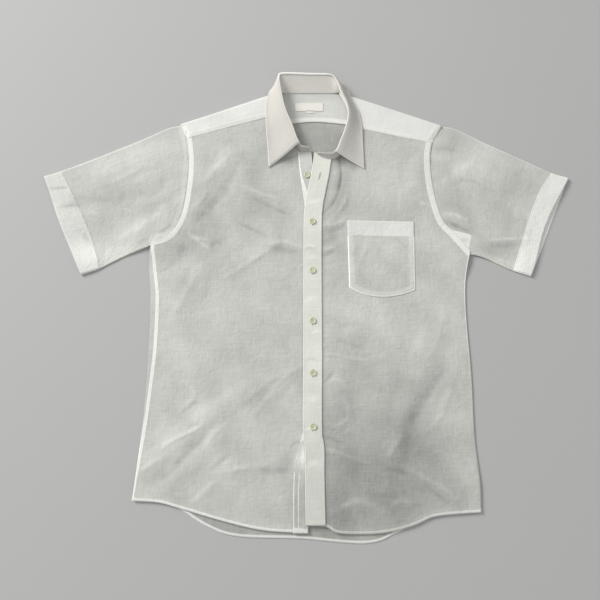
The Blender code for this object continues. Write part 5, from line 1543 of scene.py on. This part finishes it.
def seam_lines(sleeve_tops, fall):
    """Every line of stitches that shows."""
    lines = []

    def row(line, inset, side, start, end, top):
        lines.append(on_surface(trimmed(inward(line, inset, side), start, end), top))

    for hem, side, start, top in ((RIGHT_FRONT_HEM, -1, 0.085, right_front_top),
                                  (LEFT_FRONT_HEM, 1, 0.115, left_front_top),
                                  (BACK_HEM, 1, 0.01, CLOTH)):
        row(hem, HEM_SHOWN - HEM_STITCH, side, start, 0.99, top)
    for armhole, side, top in ((RIGHT_ARMHOLE, -1, right_front_top),
                               (LEFT_ARMHOLE, 1, left_front_top)):
        for inset in (ARM_STITCH, ARM_BAND - EDGE_STITCH):
            row(armhole, inset, side, 0.03, 0.985, top)
    for seam, side in ((RIGHT_YOKE_SEAM, 1), (LEFT_YOKE_SEAM, -1)):
        low = offset(curve(seam), side * HALF_LAP)
        tip = np.array([low[-1], low[-1] + (0, 0.1)])
        for inset in (HALF_LAP - EDGE_STITCH, HALF_LAP - YOKE_TURNING + EDGE_STITCH):
            row(seam, inset, -side, 0.04, 0.97, lambda plan: strip_lie(plan, low, tip))
    for inset in (PLACKET_STITCH, PLACKET_WIDTH - PLACKET_STITCH):
        row(LEFT_EDGE, inset, -1, 0.004, 0.985, placket_top)
    row(RIGHT_EDGE, BAND_WIDTH - PLACKET_STITCH, 1, 0.01, 0.99,
        lambda plan: right_front_top(plan) + STEP)
    pocket = np.vstack([curve(POCKET_LEFT)[::-1] + (POCKET_STITCH, 0),
                        curve(POCKET_BOTTOM) + (0, POCKET_STITCH),
                        curve(POCKET_RIGHT) - (POCKET_STITCH, 0)])
    lines.append(on_surface(trimmed(pocket, 0.004, 0.996), pocket_top))
    hem = np.array(POCKET_TOP) + (0, EDGE_STITCH - POCKET_HEM)
    lines.append(on_surface(hem + [(CORNER_INSET, 0), (-CORNER_INSET, 0)], pocket_top))
    for upper, cuff_line in sleeve_tops:
        inset = []
        for column in upper.transpose(1, 0, 2)[3:-3]:
            away = beside(cuff_line, column[:, :2])[0]
            crossed = np.flatnonzero(away[:-1] * away[1:] < 0)
            if len(crossed):
                row = crossed[-1]
                step = column[row + 1] - column[row]
                share = away[row] / (away[row] - away[row + 1]) + CUFF_STITCH / np.linalg.norm(step)
                inset.append(column[row] + share * step + (0, 0, THREAD_RISE + CUFF_RISE))
        lines.append(inset)
    for run in (fall[-4][2:-2], fall[6:-4, 2], fall[6:-4, -3]):
        lines.append(run + (0, 0, COLLAR_THIN / 2 + THREAD_RISE))
    label_top = INNER_YOKE_LIE + STEP + LABEL_CLOTH + THREAD_RISE * 0.5
    (x0, x1), (y0, y1) = ((low + CORNER_INSET, high - CORNER_INSET) for low, high in LABEL.values())
    corners = [(x0, y0), (x1, y0), (x1, y1), (x0, y1), (x0, y0)]
    lines.append([(x, y, label_top) for x, y in corners])
    return lines


def buttonhole_lines():
    """Round every buttonhole, for close stitches laid across the line."""
    lines = []
    centre = offset(curve(LEFT_EDGE), -PLACKET_WIDTH / 2)
    for y in [OPEN_BUTTONHOLE[1]] + button_heights():
        ys = np.linspace(y - BUTTONHOLE_LENGTH / 2, y + BUTTONHOLE_LENGTH / 2, 12)
        xs = np.interp(ys, centre[:, 1], centre[:, 0])
        out = BUTTONHOLE_SLIT / 2 + 0.0006
        loop = np.vstack([np.column_stack([xs - out, ys]), np.column_stack([xs + out, ys])[::-1]])
        loop = np.vstack([loop, loop[:1]])
        lines.append(on_surface(loop, placket_top, spacing=0.001))
    return lines


# Finishes

def weave_group():
    """Plain weave with slubs, from grain coordinates in metres."""
    tree, put, given = group("plain_weave", "ShaderNodeTree",
                             (("Grain", "Vector"), ("Thread Pitch", "Float"), ("Slub", "Float"),
                              ("Crumple", "Float")),
                             (("Height", "Float"), ("Shade", "Float"), ("Mottle", "Float")))
    add, less, times = sums_of(put)
    grain = given["Grain"]
    split = put("ShaderNodeSeparateXYZ", i0=grain)
    waves = []
    for axis in (0, 1):
        turns = sum_of(put, "DIVIDE", split.outputs[axis], given["Thread Pitch"])
        waves.append(sum_of(put, "SINE", times(turns, 2 * math.pi)))
    weave = times(waves[0], waves[1])
    streaks = []
    for scale, seed in SLUB_STREAKS:
        place = put("ShaderNodeMapping", vector_type="POINT", Vector=grain, Scale=scale,
                    Location=(seed, seed, seed))
        noise = put("ShaderNodeTexNoise", noise_dimensions="2D", Vector=place.outputs[0],
                    Scale=1.0, Detail=2.0)
        streaks.append(less(noise.outputs["Fac"], 0.5))
    fine = add(streaks[0], streaks[1])
    broad = add(streaks[2], streaks[3])
    slubs = add(fine, times(broad, 0.35))
    blots = put("ShaderNodeTexNoise", noise_dimensions="2D", Vector=grain, Scale=17.0,
                Detail=4.0, Roughness=0.45).outputs["Fac"]
    crumple = put("ShaderNodeTexNoise", noise_dimensions="2D", Vector=grain, Scale=85.0,
                  Detail=3.0, Distortion=0.6).outputs["Fac"]
    low = times(less(crumple, 0.5), given["Crumple"])
    raised = add(times(weave, THREAD_RELIEF), times(slubs, SLUB_RELIEF))
    put("NodeGroupOutput", Height=add(raised, low), Shade=times(slubs, given["Slub"]),
        Mottle=less(blots, 0.5))
    return tree


def band_group():
    """Masks of doubled bands and of their bright edges, from the distance to them."""
    tree, put, given = group("doubled_bands", "ShaderNodeTree", (("Distance", "Float"),),
                             (("Band", "Float"), ("Edge", "Float")))
    band = put("ShaderNodeMapRange", interpolation_type="SMOOTHSTEP", Value=given["Distance"],
               From_Min=BAND_BLUR, From_Max=-BAND_BLUR)
    from_edge = sum_of(put, "ABSOLUTE", sum_of(put, "ADD", given["Distance"], RIM_INSET))
    rim = put("ShaderNodeMapRange", interpolation_type="SMOOTHSTEP", Value=from_edge,
              From_Min=RIM_REACH, From_Max=0.0)
    put("NodeGroupOutput", Band=band.outputs[0], Edge=rim.outputs[0])
    return tree


def cloth_finish(name, single, double, rim_gain, slub, mottle, crumple, groups):
    """Plain-weave cloth: single colour, doubled colour, and marks from the piece itself."""
    weave, bands = groups
    tree, put, shader, material = new_finish(name)
    add, less, times = sums_of(put)
    grain = put("ShaderNodeUVMap", uv_map="grain").outputs[0]
    threads = put("ShaderNodeGroup", node_tree=weave, Grain=grain, Thread_Pitch=THREAD_PITCH,
                  Slub=slub, Crumple=crumple).outputs
    gap = put("ShaderNodeAttribute", attribute_name="doubling").outputs["Fac"]
    tone = put("ShaderNodeAttribute", attribute_name="tone").outputs["Fac"]
    masks = put("ShaderNodeGroup", node_tree=bands, Distance=gap).outputs
    colours = put("ShaderNodeMix", data_type="RGBA", i0=masks["Band"], i6=(*single, 1.0),
                  i7=(*double, 1.0))
    still = less(1.0, masks["Band"])
    spread = times(threads["Mottle"], times(add(still, 0.25), mottle))
    shade = times(threads["Shade"], add(still, 0.5))
    rim = times(masks["Edge"], rim_gain)
    light = add(add(tone, shade), add(spread, rim))
    tinted = put("ShaderNodeVectorMath", operation="SCALE", Vector=colours.outputs[2], Scale=light)
    tree.links.new(tinted.outputs[0], shader.inputs["Base Color"])
    relief = add(threads["Height"], times(masks["Band"], BAND_RELIEF))
    bump = put("ShaderNodeBump", Height=relief, Strength=1.0, Distance=1.0)
    tree.links.new(bump.outputs[0], shader.inputs["Normal"])
    for socket, value in CLOTH_SHEEN.items():
        shader.inputs[socket].default_value = value
    return material


def new_finish(name):
    """An empty material, its tree, its way to add nodes, and its shader."""
    material = bpy.data.materials.new(name)
    material.use_nodes = True
    tree = material.node_tree
    return tree, nodes_of(tree), tree.nodes["Principled BSDF"], material


def simple_finish(name, colour, spread, scale, roughness, bump_height, coat=0.0):
    """Colour and roughness varied by soft noise in the piece's own place."""
    tree, put, shader, material = new_finish(name)
    place = put("ShaderNodeTexCoord").outputs["Object"]
    noise = put("ShaderNodeTexNoise", Vector=place, Scale=scale, Detail=3.0).outputs["Fac"]
    ramp = put("ShaderNodeMix", data_type="RGBA", i0=noise,
               i6=(*[c * (1 - spread) for c in colour], 1.0),
               i7=(*[min(1.0, c * (1 + spread)) for c in colour], 1.0))
    tree.links.new(ramp.outputs[2], shader.inputs["Base Color"])
    rough = put("ShaderNodeMapRange", Value=noise, To_Min=roughness * 0.85,
                To_Max=min(1.0, roughness * 1.15))
    tree.links.new(rough.outputs[0], shader.inputs["Roughness"])
    if bump_height:
        bump = put("ShaderNodeBump", Height=noise, Strength=1.0, Distance=bump_height)
        tree.links.new(bump.outputs[0], shader.inputs["Normal"])
    shader.inputs["Coat Weight"].default_value = coat
    return material


# Floor, light and camera

def lay_floor():
    mesh = bpy.data.meshes.new("floor")
    corners = ((-1, -1), (1, -1), (1, 1), (-1, 1))
    mesh.from_pydata([(x * HALF_FLOOR, y * HALF_FLOOR, 0) for x, y in corners], [], [(0, 1, 2, 3)])
    finish = simple_finish("pale_floor", FLOOR_COLOUR, 0.015, 6.0, 0.9, 0.0)
    shown("floor", mesh, finish)


def area_light(name, place, size, power, colour):
    """A soft square lamp that faces the middle of the shirt."""
    data = bpy.data.lights.new(name, "AREA")
    data.shape, data.size, data.energy, data.color = "SQUARE", size, power, colour
    lamp = shown(name, data)
    lamp.location = place
    lamp.rotation_euler = (-Vector(place)).to_track_quat("-Z", "Y").to_euler()


def light_it():
    world = bpy.data.worlds.new("studio")
    bpy.context.scene.world = world
    world.use_nodes = True
    background = world.node_tree.nodes["Background"]
    background.inputs["Color"].default_value = (0.985, 0.99, 1.0, 1.0)
    background.inputs["Strength"].default_value = WORLD_STRENGTH
    area_light("window_side", (-3.3, 2.4, 2.5), 1.8, KEY_POWER, (1.0, 0.99, 0.97))
    area_light("soft_fill", (1.2, -1.4, 2.6), 2.0, FILL_POWER, (0.97, 0.98, 1.0))
    look = bpy.context.scene.view_settings
    look.view_transform = "Standard"
    look.look = "None"


def set_camera():
    data = bpy.data.cameras.new("photo_view")
    data.sensor_width = 36.0
    data.lens = FOCAL_PIXELS / PICTURE_PIXELS * data.sensor_width
    data.clip_start = 0.01
    camera = shown("photo_view", data)
    place = Vector(CAMERA_PLACE)
    forward = (Vector(CAMERA_TARGET) - place).normalized()
    right = Vector((1.0, 0.0, 0.0))
    up = right.cross(forward)
    turn = Matrix((right, up, -forward)).transposed().to_4x4()
    camera.matrix_world = Matrix.Translation(place) @ turn
    bpy.context.scene.camera = camera


def dress():
    groups = (weave_group(), band_group())
    sheer, doubled, collar, yoke = (cloth_finish(name + "_plain_weave", *look, groups)
                                    for name, look in CLOTHS.items())
    satin, shell, thread = (simple_finish(name, *look) for name, look in FINISHES.items())
    add_back(sheer)
    add_fronts(sheer)
    add_front_bands(sheer, doubled)
    add_pocket(sheer)
    add_yoke(yoke)
    add_inner_yoke(yoke, add_labels(satin))
    right = add_sleeve("right_sleeve", RIGHT_ARMHOLE, RIGHT_TIP, -1, RIGHT_SLEEVE_LOWER,
                       RIGHT_SLEEVE_TOP, RIGHT_CUFF, RIGHT_CUFF_BOW, RIGHT_CUFF_LINE,
                       RIGHT_SLEEVE_FOLDS, RIGHT_SLEEVE_CREASES, RIGHT_SLEEVE_TONES, 51, sheer)
    left = add_sleeve("left_sleeve", LEFT_ARMHOLE, LEFT_TIP, 1, LEFT_SLEEVE_LOWER,
                      LEFT_SLEEVE_TOP, LEFT_CUFF, LEFT_CUFF_BOW, LEFT_CUFF_LINE,
                      LEFT_SLEEVE_FOLDS, LEFT_SLEEVE_CREASES, LEFT_SLEEVE_TONES, 61, sheer)
    fall = add_collar(collar)
    add_buttons(shell, thread)
    tree = stitch_tree()
    sew("seam_stitches", seam_lines([right, left], fall), *SEAM_STITCHES, 0.0, thread, tree)
    sew("buttonhole_stitches", buttonhole_lines(), *CLOSE_STITCHES, math.pi / 2, thread, tree)


lay_floor()
light_it()
set_camera()
dress()
